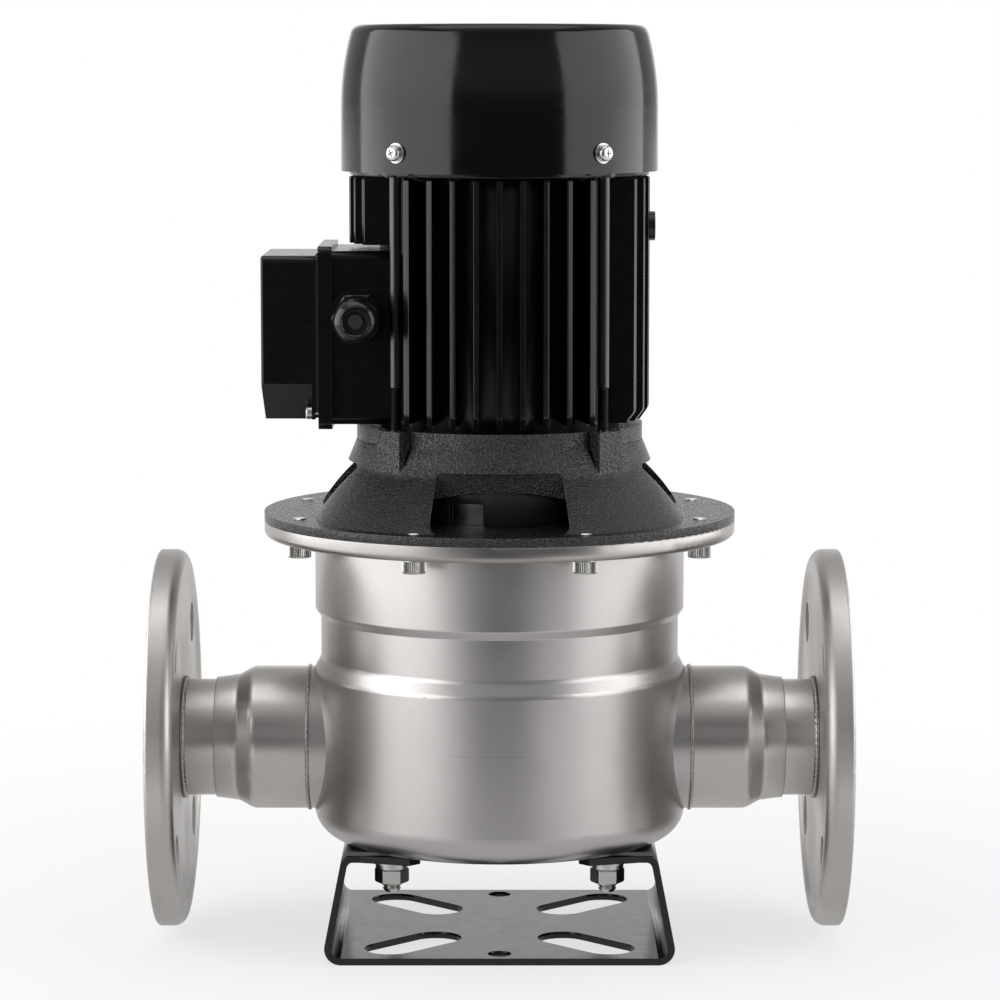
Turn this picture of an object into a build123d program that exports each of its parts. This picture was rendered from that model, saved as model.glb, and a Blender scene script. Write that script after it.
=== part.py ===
from build123d import *
import math
import os

# Inline circulation pump with its motor, in millimetres.
# +Z is up. The origin is on the pump's axis, on the surface that the foot stands on.
# The pipe axis runs along X: the inlet is at -X and the outlet at +X.

# Fits and gaps
FIT = 0.03              # radial gap of a seated bearing, ring or hub
SLIP = 0.2              # gap of a loose fit between fixed pieces
RUNNING_GAP = 0.3       # gap between a turning piece and a fixed one
SEAL_GAP = 0.05         # film between the two seal faces

# Foot bracket, bent from one sheet
SHEET = 3.0
FOOT_HALF_WIDTH = 76.0          # to the sharp corner of base and wall
FOOT_DEPTH = 132.0
FOOT_WALL_LEAN = 11.0           # degrees that each wall leans inwards
FOOT_WALL_TAPER_START = 10.0    # height where the walls begin to narrow
FOOT_BEND = 4.0                 # inner radius of the bends at the base
FLAP_BEND = 2.5                 # inner radius of the bends at the flaps
FLAP_TOP = 42.5
FLAP_ROOT = 60.0
FLAP_REACH = 34.0
FLAP_CORNER = 4.5
FLAP_DEPTH_OUTER = 87.0
FLAP_DEPTH_INNER = 100.0
SLOT_CENTRE = 37.3              # each diagonal slot's centre, along X and along Y
SLOT_TRAVEL = 27.3
SLOT_WIDTH = 22.0
FOOT_HOLE_DIAMETER = 10.0
FOOT_HOLE_SPACING = 114.0

# Foot fixings
STRIP_THICKNESS = 2.0
STRIP_WIDTH = 26.0
STRIP_LENGTH = 88.0
STRIP_CENTRE_X = 53.0
STUD_SPACING_X = 93.0
STUD_SPACING_Y = 70.0
STUD_DIAMETER = 8.0
STUD_PROUD = 4.0                # stud below its nut
STUD_HOLE_DIAMETER = 9.0
WASHER_DIAMETER = 16.0
WASHER_THICKNESS = 1.6
SPRING_WASHER_DIAMETER = 14.0
SPRING_WASHER_THICKNESS = 2.0
SPRING_WASHER_SPLIT = 1.5
NUT_ACROSS_FLATS = 13.0
NUT_HEIGHT = 6.5

# Casing
CASING_WALL = 2.5
BODY_RADIUS = 81.2
BODY_CORNER = 13.0
NECK_RADIUS = 78.0
UPPER_RADIUS = 80.4
SHOULDER_LOW = 117.5
SHOULDER_HIGH = 123.5
SHOULDER_ROUND = 4.0
STEP_LOW = 141.6
STEP_HIGH = 145.0

# Flange joint between casing and lantern
JOINT_RADIUS = 102.4
JOINT_LOW = 176.8
JOINT_FACE = 183.8
JOINT_EDGE_ROUND = 2.8
COVER_RIM_RADIUS = 87.5
COVER_RIM_THICKNESS = 2.0
DISC_THICKNESS = 3.6
JOINT_SCREW_CIRCLE = 185.0
JOINT_SCREW_COUNT = 8
JOINT_SCREW_DIAMETER = 6.0
JOINT_SCREW_HEAD_DIAMETER = 10.0
JOINT_SCREW_HEAD_HEIGHT = 6.0
JOINT_SCREW_SOCKET = 5.0
JOINT_SCREW_PROUD = 0.4         # screw end above the disc

# Pipes
PIPE_HEIGHT = 86.6
COLLAR_RADIUS = 31.2
COLLAR_END = 83.2
REDUCER_WALL = 1.8
REDUCER_TURN = 107.5
REDUCER_END = 116.2
REDUCER_SMALL_RADIUS = 27.5
SLEEVE_END = 124.0
SLEEVE_SMALL_RADIUS = 26.4
NECK_TUBE_RADIUS = 25.4
NECK_TUBE_WALL = 1.6
WELD_WIDTH = 2.2
WELD_HEIGHT = 1.1

# Pipe flanges
FACE_TO_FACE = 300.0
FLANGE_DIAMETER = 165.0
FLANGE_THICKNESS = 12.0
FLANGE_EDGE_ROUND = 5.0
FLANGE_RECESS_RADIUS = 74.0
FLANGE_RECESS = 1.5
SEALING_FACE_DIAMETER = 102.0
SEALING_FACE_HEIGHT = 1.0
FLANGE_BOLT_CIRCLE = 125.0
FLANGE_BOLT_COUNT = 4
FLANGE_HOLE_DIAMETER = 18.0

# Water way inside the casing
CHAMBER_RADIUS = 33.0
CHAMBER_WALL = 2.0
CHAMBER_FLOOR = 56.0
CHAMBER_SPOUT_END = 82.0
DIFFUSER_PLATE = 2.0
DIFFUSER_VANE_COUNT = 9
DIFFUSER_VANE_INNER = 64.0
DIFFUSER_VANE_OUTER = 75.0
DIFFUSER_PORT_CIRCLE = 139.0
DIFFUSER_PORT_LENGTH = 17.0
DIFFUSER_PORT_WIDTH = 7.0
WEAR_RING_OUTER = 28.0
WEAR_RING_HEIGHT = 5.0

# Impeller
IMPELLER_RADIUS = 60.0
IMPELLER_LIFT = 5.0             # lower shroud above the diffuser's floor
SHROUD = 2.0
IMPELLER_PASSAGE = 12.0
IMPELLER_EYE_INNER = 22.0
IMPELLER_EYE_OUTER = 24.0
IMPELLER_HUB_RADIUS = 12.0
IMPELLER_HUB_ABOVE = 4.0
IMPELLER_VANES = 6
VANE_THICKNESS = 2.0
IMPELLER_NUT_FLANGE_RADIUS = 10.0
IMPELLER_NUT_FLANGE = 1.5
IMPELLER_NUT_ACROSS_FLATS = 16.0
IMPELLER_NUT_HEIGHT = 8.0
KEY_WIDTH = 4.0
KEY_HEIGHT = 4.0
KEY_LENGTH = 12.0

# Casing cover and shaft seal
COVER_WALL = 2.0
COVER_CUP_RADIUS = 58.0
COVER_FLOOR = 172.0
COVER_TOP = 200.0
SEAL_POCKET_RADIUS = 16.5
SEAL_HUB_RADIUS = 20.0
SEAL_HUB_LOW = 184.0
SEAT_HEIGHT = 6.0
SEAT_LOW = 187.0
SEAT_INNER_RADIUS = 9.6
SEAL_RING_HEIGHT = 5.0
SEAL_RING_RADIUS = 13.0
SEAL_SPRING_WIRE = 1.4
SEAL_SPRING_TURNS = 3
SEAL_COLLAR_HEIGHT = 3.0
O_RING_SECTION = 2.1
O_RING_CENTRE_Z = 177.0

# Lantern
SKIRT_BASE_X = 157.0
SKIRT_BASE_Y = 178.0
SKIRT_BASE_CORNER = 58.0
SKIRT_WAIST_Z = 208.0
SKIRT_WAIST_X = 133.0
SKIRT_WAIST_Y = 134.0
SKIRT_WAIST_CORNER = 66.0
SKIRT_TOP_Z = 219.0
SKIRT_TOP_RADIUS = 62.0
SKIRT_WALL = 6.5
LANTERN_TOP = 226.0
LANTERN_CEILING = 214.0
DISC_BORE_RADIUS = 59.0
WINDOW_TOP = 210.0
WINDOW_HALF_BOTTOM = 29.4
WINDOW_HALF_TOP = 26.3
WINDOW_CORNER = 3.0
WINDOW_FLOOR_RADIUS = 61.0      # the windows stop here, so the collar above the drum stays whole
LUG_WIDTH = 13.6
LUG_REACH = 66.6
LUG_LOW = 203.0
NOTCH_WIDTH = 4.5
NOTCH_TIP_Z = 209.0
NOTCH_FLOOR = 60.0              # distance of the notches' flat floor from the axis
NOTCH_GAP_TOP = 0.3             # between a lug and the notch beside it
NOTCH_GAP_TIP = 0.8
SPIGOT_RADIUS = 48.3
SPIGOT_INNER = 44.0
SPIGOT_HEIGHT = 4.0

# Guard drum inside the lantern
DRUM_RADIUS = 60.6
DRUM_THICKNESS = 1.5
DRUM_OPENINGS = 8
DRUM_OPENING_WIDTH = 14.7
DRUM_OPENING_TOP = 196.5
DRUM_OPENING_ANGLE = -103.5     # the first opening's direction, in degrees from +X

# Shaft
SHAFT_END = 139.0
THREAD_RADIUS = 5.0
SHAFT_HUB_RADIUS = 6.0
SHAFT_SEAL_RADIUS = 8.0
SHAFT_LOWER_RADIUS = 10.0
SHAFT_ROTOR_RADIUS = 12.0
SHAFT_UPPER_RADIUS = 8.5
SHAFT_FAN_RADIUS = 7.0
SHAFT_TOP = 366.0
SLINGER_RADIUS = 18.0
SLINGER_HEIGHT = 3.0

# Bearings: width, outer radius, ball circle radius, ball radius, number of balls
LOWER_BEARING_Z = 210.0
LOWER_BEARING_WIDTH = 14.0
LOWER_BEARING_OUTER = 23.5
LOWER_BALL_CIRCLE = 16.75
LOWER_BALL_RADIUS = 3.9
UPPER_BEARING_Z = 318.0
UPPER_BEARING_WIDTH = 12.0
UPPER_BEARING_OUTER = 20.0
UPPER_BALL_CIRCLE = 14.25
UPPER_BALL_RADIUS = 3.3
BALL_COUNT = 8
BALL_GAP = 0.05
CAGE_GAP = 0.12
CAGE_EDGE = 0.9
WAVE_SPRING_HEIGHT = 1.5

# Motor frame
FRAME_CORE_RADIUS = 52.0
FRAME_BORE_RADIUS = 48.5
FRAME_RADIUS = 64.9
FRAME_TOP = 333.0
FIN_LOW = 228.0
FIN_HIGH = 332.4
FIN_PITCH = 9.8
FIN_THICKNESS = 2.2
FRONT_FIN_COUNT = 9
SIDE_FIN_COUNT = 7
ROD_CIRCLE = 124.0              # four long screws beside the fins
SIDE_BOSS_Z = 310.8
SIDE_BOSS_RADIUS = 6.3
SIDE_BOSS_REACH = 67.2
ROD_DIAMETER = 5.0
ROD_HEAD_RADIUS = 4.2
ROD_HEAD_HEIGHT = 3.5
ROD_END = 212.0

# Stator, windings and rotor
STATOR_LOW = 246.0
STATOR_HIGH = 306.0
STATOR_BORE = 27.3
SLOT_COUNT = 24
STATOR_SLOT_WIDTH = 3.4
STATOR_SLOT_INNER = 29.5
STATOR_SLOT_OUTER = 40.0
WINDING_INNER = 29.7
WINDING_OUTER = 43.5
WINDING_OVERHANG = 13.0
END_RING_INNER = 15.0
END_RING_OUTER = 26.0
END_RING_HEIGHT = 7.0

# Upper end shield
SHIELD_RADIUS = 64.5
SHIELD_THICKNESS = 5.0
EAR_RADIUS = 4.4
SHIELD_HUB_RADIUS = 26.0
SHIELD_HUB_LOW = 316.0
TAB_WIDTH = 10.0
TAB_THICKNESS = 3.0
TAB_TOP = 349.0

# Fan cover and fan
COVER_SHEET = 1.5
FAN_COVER_RADIUS = 68.3
FAN_COVER_LOW = 334.7
FAN_COVER_TOP = 397.0
FAN_COVER_SIDE_ARC = 121.0       # the arched side's radius, above the straight part
FAN_COVER_CORNER = 4.5
FAN_COVER_STRAIGHT_TOP = 362.0
VENT_RINGS = 4
VENT_RING_START = 16.0
VENT_RING_PITCH = 9.0
VENT_WIDTH = 4.0
VENT_GAP_DEGREES = 22.0
COVER_SCREW_Z = 343.3
COVER_SCREW_ANGLE = 39.0        # degrees from the Y axis
COVER_SCREW_DIAMETER = 4.0
COVER_SCREW_HEAD_RADIUS = 3.4
COVER_SCREW_HEAD_HEIGHT = 2.4
COVER_SCREW_LENGTH = 9.0
COVER_WASHER_RADIUS = 4.4
COVER_WASHER_THICKNESS = 0.8
FAN_LOW = 345.0
FAN_HIGH = 364.0
FAN_RADIUS = 58.0
FAN_HUB_RADIUS = 12.0
FAN_PLATE = 2.0
FAN_BLADES = 7

# Terminal box, on the -X side of the frame
BOX_Z = 264.4
BOX_HEIGHT = 74.0
BOX_DEPTH = 64.0
BOX_CORNER = 3.0
BOX_WALL = 3.0
BOX_BACK_X = 46.0
BOX_FLANGE_X = 71.3
GASKET_X = 77.2
LID_X = 78.6
LID_OUTER_X = 101.6
LID_HEIGHT = 70.0
LID_BOTTOM_BREAK = 15.5         # height of the lid's tapered lower part
LID_FRONT_TAPER = 7.0
LID_BASE = 1.5                  # sheet left under the screws, beside the taper
LID_OUTER_TAPER = 1.5
BOX_FLANGE_HEIGHT = 78.0
BOX_FLANGE_DEPTH = 67.0
GASKET_INSET = 0.7
LID_SCREW_Y = 29.6
LID_SCREW_DROP = 31.9           # below the box's middle
LID_SCREW_DIAMETER = 3.0
LID_SCREW_HEAD_RADIUS = 2.8
LID_SCREW_HEAD_HEIGHT = 2.6
LID_SCREW_LENGTH = 8.0
WIRE_HOLE_RADIUS = 7.0

# Cable gland, on the front of the terminal box
GLAND_X = 60.0
GLAND_Z = 273.5
GLAND_BOSS_RADIUS = 11.9
GLAND_BOSS_REACH = 36.0
GLAND_BASE_ACROSS_FLATS = 20.0
GLAND_BASE_HEIGHT = 6.0
GLAND_THREAD_RADIUS = 8.0
GLAND_BODY_REACH = 52.0
GLAND_NUT_LOW = 44.0
GLAND_NUT_REACH = 65.0
GLAND_NUT_RADIUS = 10.0
GLAND_BORE_RADIUS = 5.6
GLAND_SEAL_REACH = 61.0
PLUG_RADIUS = 3.5
PLUG_REACH = 62.5
PLUG_LENGTH = 12.0

# Terminal block inside the box
BLOCK_WIDTH = 36.0
BLOCK_HEIGHT = 40.0
BLOCK_THICKNESS = 8.0
BLOCK_STUD_RADIUS = 2.0
BLOCK_STUD_PROUD = 9.0

# Heights and places worked out from the sizes above
flap_bottom = FLAP_TOP - SHEET
casing_floor = FLAP_TOP + STRIP_THICKNESS
nut_top = flap_bottom - WASHER_THICKNESS - SPRING_WASHER_THICKNESS
nut_bottom = nut_top - NUT_HEIGHT
body_inner = BODY_RADIUS - CASING_WALL
neck_inner = NECK_RADIUS - CASING_WALL
upper_inner = UPPER_RADIUS - CASING_WALL
rim_seat = JOINT_FACE - COVER_RIM_THICKNESS
disc_top = JOINT_FACE + DISC_THICKNESS
hollow_step = SKIRT_WAIST_Z - SKIRT_WALL
flange_face = FACE_TO_FACE / 2
flange_rim = flange_face - SEALING_FACE_HEIGHT
flange_back = flange_rim - FLANGE_THICKNESS
flange_recess_face = flange_back + FLANGE_RECESS
collar_bore = COLLAR_RADIUS - REDUCER_WALL
neck_bore = NECK_TUBE_RADIUS - NECK_TUBE_WALL
plate_floor = STEP_HIGH + 1.0
plate_top = plate_floor + DIFFUSER_PLATE
eye_low = plate_floor + 1.0
shroud_low = plate_top + IMPELLER_LIFT
shroud_high = shroud_low + SHROUD + IMPELLER_PASSAGE
impeller_top = shroud_high + SHROUD
hub_top = impeller_top + IMPELLER_HUB_ABOVE
seat_high = SEAT_LOW + SEAT_HEIGHT
seal_ring_high = SEAT_LOW - SEAL_GAP
seal_ring_low = seal_ring_high - SEAL_RING_HEIGHT
seal_collar_high = hub_top + SEAL_COLLAR_HEIGHT
slinger_low = COVER_TOP + 2.0
shield_top = FRAME_TOP + SHIELD_THICKNESS
lower_bearing_top = LOWER_BEARING_Z + LOWER_BEARING_WIDTH
bearing_cap_z = UPPER_BEARING_Z + UPPER_BEARING_WIDTH + WAVE_SPRING_HEIGHT
tab_outer = FAN_COVER_RADIUS - COVER_SHEET - SLIP
box_half = BOX_HEIGHT / 2
block_back = FRAME_CORE_RADIUS + BOX_WALL
box_front = BOX_DEPTH / 2
lid_low = BOX_Z - LID_HEIGHT / 2
hollow_z = BOX_Z + LID_BOTTOM_BREAK / 2
hollow_depth = BOX_DEPTH - 2 * BOX_WALL
hollow_height = LID_HEIGHT - 2 * BOX_WALL - LID_BOTTOM_BREAK
PIPE_AXIS = Axis((0, 0, PIPE_HEIGHT), (1, 0, 0))
pipe_plane = Plane(origin=(0, 0, PIPE_HEIGHT), z_dir=(1, 0, 0))
cover_screw_angles = [90 + s * COVER_SCREW_ANGLE + t for t in (0, 180) for s in (-1, 1)]


def half_section(*corners):
    """A closed half-section in the XZ plane, from corners (radius, height, rounding)."""
    with BuildSketch(Plane.XZ) as sketch:
        with BuildLine():
            FilletPolyline(*[c[:2] for c in corners], radius=[c[2] for c in corners], close=True)
        make_face()
    return sketch.sketch


def ring_section(inner, outer, low, high):
    """A plain rectangular half-section of a ring about the Z axis."""
    return half_section((inner, low, 0), (outer, low, 0), (outer, high, 0), (inner, high, 0))


def pipe_section(side, *corners):
    """A half-section for a piece on the pipe axis, from corners (distance, radius, rounding)."""
    return half_section(*[(side * x, PIPE_HEIGHT + r, c) for x, r, c in corners])


def polar(radius, degrees, height=None):
    """A point at a radius and a direction, in a plan or at a height."""
    x = radius * math.cos(math.radians(degrees))
    y = radius * math.sin(math.radians(degrees))
    return (x, y) if height is None else (x, y, height)


def radial_plane(degrees, height, radius=0.0):
    """A plane that faces outwards at a direction about the Z axis, with its own Y upwards."""
    outwards = polar(1.0, degrees, 0.0)
    sideways = polar(1.0, degrees + 90, 0.0)
    return Plane(origin=polar(radius, degrees, height), x_dir=sideways, z_dir=outwards)


def vane_lines(count, inner, outer, sweep):
    """Middle lines of curved vanes that lag by an angle from their inner to their outer end."""
    middle = (inner + outer) / 2
    for number in range(count):
        start = number * 360 / count
        ThreePointArc(
            polar(inner, start), polar(middle, start + 0.62 * sweep), polar(outer, start + sweep)
        )


def finish(piece, name):
    """Label a finished piece and write it as its own file."""
    piece.label = name
    export_step(piece, f"parts/{name}.step")


os.makedirs("parts", exist_ok=True)

# Foot bracket: the bent wall first, then the flaps, the slots and the holes
lean = math.tan(math.radians(FOOT_WALL_LEAN))
wall_top_x = FOOT_HALF_WIDTH - FLAP_TOP * lean
with BuildPart() as base_bracket:
    with BuildSketch(Plane.XZ):
        with BuildLine():
            FilletPolyline(
                (0, 0), (FOOT_HALF_WIDTH, 0), (wall_top_x, FLAP_TOP), (FLAP_ROOT, FLAP_TOP),
                radius=(FOOT_BEND + SHEET, FLAP_BEND + SHEET),
            )
            offset(amount=SHEET, side=Side.LEFT)
        make_face()
    extrude(amount=FOOT_DEPTH / 2, both=True)
    with BuildSketch(Plane.YZ):
        Polygon(
            (-FOOT_DEPTH / 2, 0), (FOOT_DEPTH / 2, 0), (FOOT_DEPTH / 2, FOOT_WALL_TAPER_START),
            (FLAP_DEPTH_OUTER / 2, flap_bottom), (FLAP_DEPTH_OUTER / 2, FLAP_TOP),
            (-FLAP_DEPTH_OUTER / 2, FLAP_TOP), (-FLAP_DEPTH_OUTER / 2, flap_bottom),
            (-FOOT_DEPTH / 2, FOOT_WALL_TAPER_START), align=None,
        )
    extrude(amount=FOOT_HALF_WIDTH, both=True, mode=Mode.INTERSECT)
    with BuildSketch(Plane.XY.offset(flap_bottom)):
        Polygon(
            (FLAP_ROOT, -FLAP_DEPTH_OUTER / 2), (FLAP_ROOT, FLAP_DEPTH_OUTER / 2),
            (FLAP_REACH + FLAP_CORNER, FLAP_DEPTH_INNER / 2),
            (FLAP_REACH, FLAP_DEPTH_INNER / 2 - FLAP_CORNER),
            (FLAP_REACH, -FLAP_DEPTH_INNER / 2 + FLAP_CORNER),
            (FLAP_REACH + FLAP_CORNER, -FLAP_DEPTH_INNER / 2), align=None,
        )
    extrude(amount=SHEET)
    mirror(about=Plane.YZ)
    with BuildSketch(Plane.XY):
        for side_x in (-1, 1):
            for side_y in (-1, 1):
                with Locations((side_x * SLOT_CENTRE, side_y * SLOT_CENTRE)):
                    SlotCenterToCenter(SLOT_TRAVEL, SLOT_WIDTH, rotation=45 * side_x * side_y)
        with GridLocations(0, FOOT_HOLE_SPACING, 1, 2):
            Circle(FOOT_HOLE_DIAMETER / 2)
    extrude(amount=SHEET, mode=Mode.SUBTRACT)
    with BuildSketch(Plane.XY.offset(flap_bottom)):
        with GridLocations(STUD_SPACING_X, STUD_SPACING_Y, 2, 2):
            Circle(STUD_HOLE_DIAMETER / 2)
    extrude(amount=SHEET, mode=Mode.SUBTRACT)
finish(base_bracket.part, "base_bracket")

# Stainless strips welded under the casing, with their studs
with BuildPart() as foot_strips:
    with BuildSketch(Plane.XY.offset(FLAP_TOP)):
        with GridLocations(2 * STRIP_CENTRE_X, 0, 2, 1):
            Rectangle(STRIP_WIDTH, STRIP_LENGTH)
    extrude(amount=STRIP_THICKNESS)
finish(foot_strips.part, "foot_strips")

with BuildPart() as foot_studs:
    with BuildSketch(Plane.XY.offset(nut_bottom - STUD_PROUD)):
        with GridLocations(STUD_SPACING_X, STUD_SPACING_Y, 2, 2):
            Circle(STUD_DIAMETER / 2)
    extrude(amount=FLAP_TOP - nut_bottom + STUD_PROUD)
    chamfer(foot_studs.faces().group_by(Axis.Z)[0].edges(), 0.8)
finish(foot_studs.part, "foot_studs")

with BuildPart() as foot_washers:
    with BuildSketch(Plane.XY.offset(flap_bottom - WASHER_THICKNESS)):
        with GridLocations(STUD_SPACING_X, STUD_SPACING_Y, 2, 2):
            Circle(WASHER_DIAMETER / 2)
            Circle(STUD_DIAMETER / 2 + SLIP, mode=Mode.SUBTRACT)
    extrude(amount=WASHER_THICKNESS)
finish(foot_washers.part, "foot_washers")

with BuildPart() as foot_spring_washers:
    with BuildSketch(Plane.XY.offset(nut_top)):
        with GridLocations(STUD_SPACING_X, STUD_SPACING_Y, 2, 2):
            Circle(SPRING_WASHER_DIAMETER / 2)
            Circle(STUD_DIAMETER / 2 + FIT, mode=Mode.SUBTRACT)
            Rectangle(
                SPRING_WASHER_DIAMETER, SPRING_WASHER_SPLIT,
                align=(Align.MIN, Align.CENTER), mode=Mode.SUBTRACT,
            )
    extrude(amount=SPRING_WASHER_THICKNESS)
finish(foot_spring_washers.part, "foot_spring_washers")

with BuildPart() as foot_nuts:
    with BuildSketch(Plane.XY.offset(nut_bottom)):
        with GridLocations(STUD_SPACING_X, STUD_SPACING_Y, 2, 2):
            RegularPolygon(NUT_ACROSS_FLATS / 2, 6, major_radius=False)
    extrude(amount=NUT_HEIGHT)
    nut_faces = foot_nuts.faces().group_by(Axis.Z)
    chamfer(nut_faces[0].edges() + nut_faces[-1].edges(), 0.6)
    with BuildSketch(Plane.XY.offset(nut_bottom)):
        with GridLocations(STUD_SPACING_X, STUD_SPACING_Y, 2, 2):
            Circle(STUD_DIAMETER / 2 + FIT)
    extrude(amount=NUT_HEIGHT, mode=Mode.SUBTRACT)
finish(foot_nuts.part, "foot_nuts")

# Casing: a pressed pot with two pulled collars
with BuildPart() as pump_casing:
    revolve(
        half_section(
            (0, casing_floor, 0), (BODY_RADIUS, casing_floor, BODY_CORNER),
            (BODY_RADIUS, SHOULDER_LOW, SHOULDER_ROUND), (NECK_RADIUS, SHOULDER_HIGH, SHOULDER_ROUND),
            (NECK_RADIUS, STEP_LOW, 0.8), (UPPER_RADIUS, STEP_HIGH, 1.5),
            (UPPER_RADIUS, rim_seat, 0), (0, rim_seat, 0),
        ),
        axis=Axis.Z,
    )
    with BuildSketch(pipe_plane):
        Circle(COLLAR_RADIUS)
    extrude(amount=COLLAR_END, both=True)
    revolve(
        half_section(
            (0, casing_floor + CASING_WALL, 0),
            (body_inner, casing_floor + CASING_WALL, BODY_CORNER - CASING_WALL),
            (body_inner, SHOULDER_LOW - 1, SHOULDER_ROUND), (neck_inner, SHOULDER_HIGH - 1, SHOULDER_ROUND),
            (neck_inner, STEP_LOW + 1, 0.8), (upper_inner, STEP_HIGH + 1, 0.3),
            (upper_inner, rim_seat, 0), (0, rim_seat, 0),
        ),
        axis=Axis.Z,
        mode=Mode.SUBTRACT,
    )
    with BuildSketch(pipe_plane):
        Circle(collar_bore)
    extrude(amount=COLLAR_END, both=True, mode=Mode.SUBTRACT)
finish(pump_casing.part, "pump_casing")

with BuildPart() as casing_flange:
    revolve(
        half_section(
            (UPPER_RADIUS, JOINT_LOW, 0), (JOINT_RADIUS, JOINT_LOW, JOINT_EDGE_ROUND),
            (JOINT_RADIUS, JOINT_FACE, 0.5), (COVER_RIM_RADIUS + SLIP, JOINT_FACE, 0),
            (COVER_RIM_RADIUS + SLIP, rim_seat, 0), (UPPER_RADIUS, rim_seat, 0),
        ),
        axis=Axis.Z,
    )
    with BuildSketch(Plane.XY.offset(JOINT_LOW)):
        with PolarLocations(JOINT_SCREW_CIRCLE / 2, JOINT_SCREW_COUNT, 180 / JOINT_SCREW_COUNT):
            Circle(JOINT_SCREW_DIAMETER / 2 + SLIP)
    extrude(amount=JOINT_FACE - JOINT_LOW, mode=Mode.SUBTRACT)
finish(casing_flange.part, "casing_flange")

with BuildPart() as joint_screws:
    with BuildSketch(Plane.XY.offset(JOINT_LOW - JOINT_SCREW_HEAD_HEIGHT)):
        with PolarLocations(JOINT_SCREW_CIRCLE / 2, JOINT_SCREW_COUNT, 180 / JOINT_SCREW_COUNT):
            Circle(JOINT_SCREW_HEAD_DIAMETER / 2)
    extrude(amount=JOINT_SCREW_HEAD_HEIGHT)
    chamfer(joint_screws.faces().group_by(Axis.Z)[0].edges(), 0.5)
    with BuildSketch(Plane.XY.offset(JOINT_LOW)):
        with PolarLocations(JOINT_SCREW_CIRCLE / 2, JOINT_SCREW_COUNT, 180 / JOINT_SCREW_COUNT):
            Circle(JOINT_SCREW_DIAMETER / 2)
    extrude(amount=disc_top + JOINT_SCREW_PROUD - JOINT_LOW)
    with BuildSketch(Plane.XY.offset(JOINT_LOW - JOINT_SCREW_HEAD_HEIGHT)):
        with PolarLocations(JOINT_SCREW_CIRCLE / 2, JOINT_SCREW_COUNT, 180 / JOINT_SCREW_COUNT):
            RegularPolygon(JOINT_SCREW_SOCKET / 2, 6, major_radius=False)
    extrude(amount=JOINT_SCREW_HEAD_HEIGHT / 2, mode=Mode.SUBTRACT)
finish(joint_screws.part, "joint_screws")

# Pipes: the same pieces on both sides
with BuildPart() as reducers:
    for side in (-1, 1):
        revolve(
            pipe_section(
                side,
                (COLLAR_END, COLLAR_RADIUS, 0), (REDUCER_TURN, COLLAR_RADIUS, 7),
                (REDUCER_END - 2, REDUCER_SMALL_RADIUS, 3), (REDUCER_END, REDUCER_SMALL_RADIUS, 0),
                (REDUCER_END, REDUCER_SMALL_RADIUS - REDUCER_WALL, 0),
                (REDUCER_END - 2, REDUCER_SMALL_RADIUS - REDUCER_WALL, 3),
                (REDUCER_TURN, collar_bore, 5), (COLLAR_END, collar_bore, 0),
            ),
            axis=PIPE_AXIS,
        )
finish(reducers.part, "reducers")

with BuildPart() as pipe_sleeves:
    for side in (-1, 1):
        revolve(
            pipe_section(
                side,
                (REDUCER_END, REDUCER_SMALL_RADIUS - 0.2, 0), (SLEEVE_END, SLEEVE_SMALL_RADIUS, 0.4),
                (SLEEVE_END, neck_bore, 0), (REDUCER_END, neck_bore, 0),
            ),
            axis=PIPE_AXIS,
        )
finish(pipe_sleeves.part, "pipe_sleeves")

with BuildPart() as neck_tubes:
    for side in (-1, 1):
        revolve(
            pipe_section(
                side,
                (SLEEVE_END, neck_bore, 0), (SLEEVE_END, NECK_TUBE_RADIUS, 0),
                (flange_face, NECK_TUBE_RADIUS, 0), (flange_face, neck_bore, 0),
            ),
            axis=PIPE_AXIS,
        )
finish(neck_tubes.part, "neck_tubes")

for side, port in ((-1, "inlet"), (1, "outlet")):
    with BuildPart() as flange:
        revolve(
            pipe_section(
                side,
                (flange_face, NECK_TUBE_RADIUS, 0), (flange_face, SEALING_FACE_DIAMETER / 2, 0.4),
                (flange_rim, SEALING_FACE_DIAMETER / 2, 0), (flange_rim, FLANGE_DIAMETER / 2, 1.5),
                (flange_back, FLANGE_DIAMETER / 2, FLANGE_EDGE_ROUND),
                (flange_back, FLANGE_RECESS_RADIUS, 1.0),
                (flange_recess_face, FLANGE_RECESS_RADIUS - 2, 1.0),
                (flange_recess_face, NECK_TUBE_RADIUS, 0),
            ),
            axis=PIPE_AXIS,
        )
        with BuildSketch(pipe_plane.offset(side * flange_back)):
            with PolarLocations(FLANGE_BOLT_CIRCLE / 2, FLANGE_BOLT_COUNT, 180 / FLANGE_BOLT_COUNT):
                Circle(FLANGE_HOLE_DIAMETER / 2)
        extrude(amount=side * FLANGE_THICKNESS, mode=Mode.SUBTRACT)
    finish(flange.part, f"{port}_flange")

with BuildPart() as weld_beads:
    for side in (-1, 1):
        revolve(
            pipe_section(
                side,
                (COLLAR_END - WELD_WIDTH / 2, COLLAR_RADIUS, 0),
                (COLLAR_END, COLLAR_RADIUS + WELD_HEIGHT, 0.6),
                (COLLAR_END + WELD_WIDTH / 2, COLLAR_RADIUS, 0),
            ),
            axis=PIPE_AXIS,
        )
        revolve(
            pipe_section(
                side,
                (flange_recess_face, NECK_TUBE_RADIUS, 0),
                (flange_recess_face - WELD_WIDTH, NECK_TUBE_RADIUS, 0),
                (flange_recess_face, NECK_TUBE_RADIUS + WELD_WIDTH, 0),
            ),
            axis=PIPE_AXIS,
        )
finish(weld_beads.part, "weld_beads")

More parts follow.
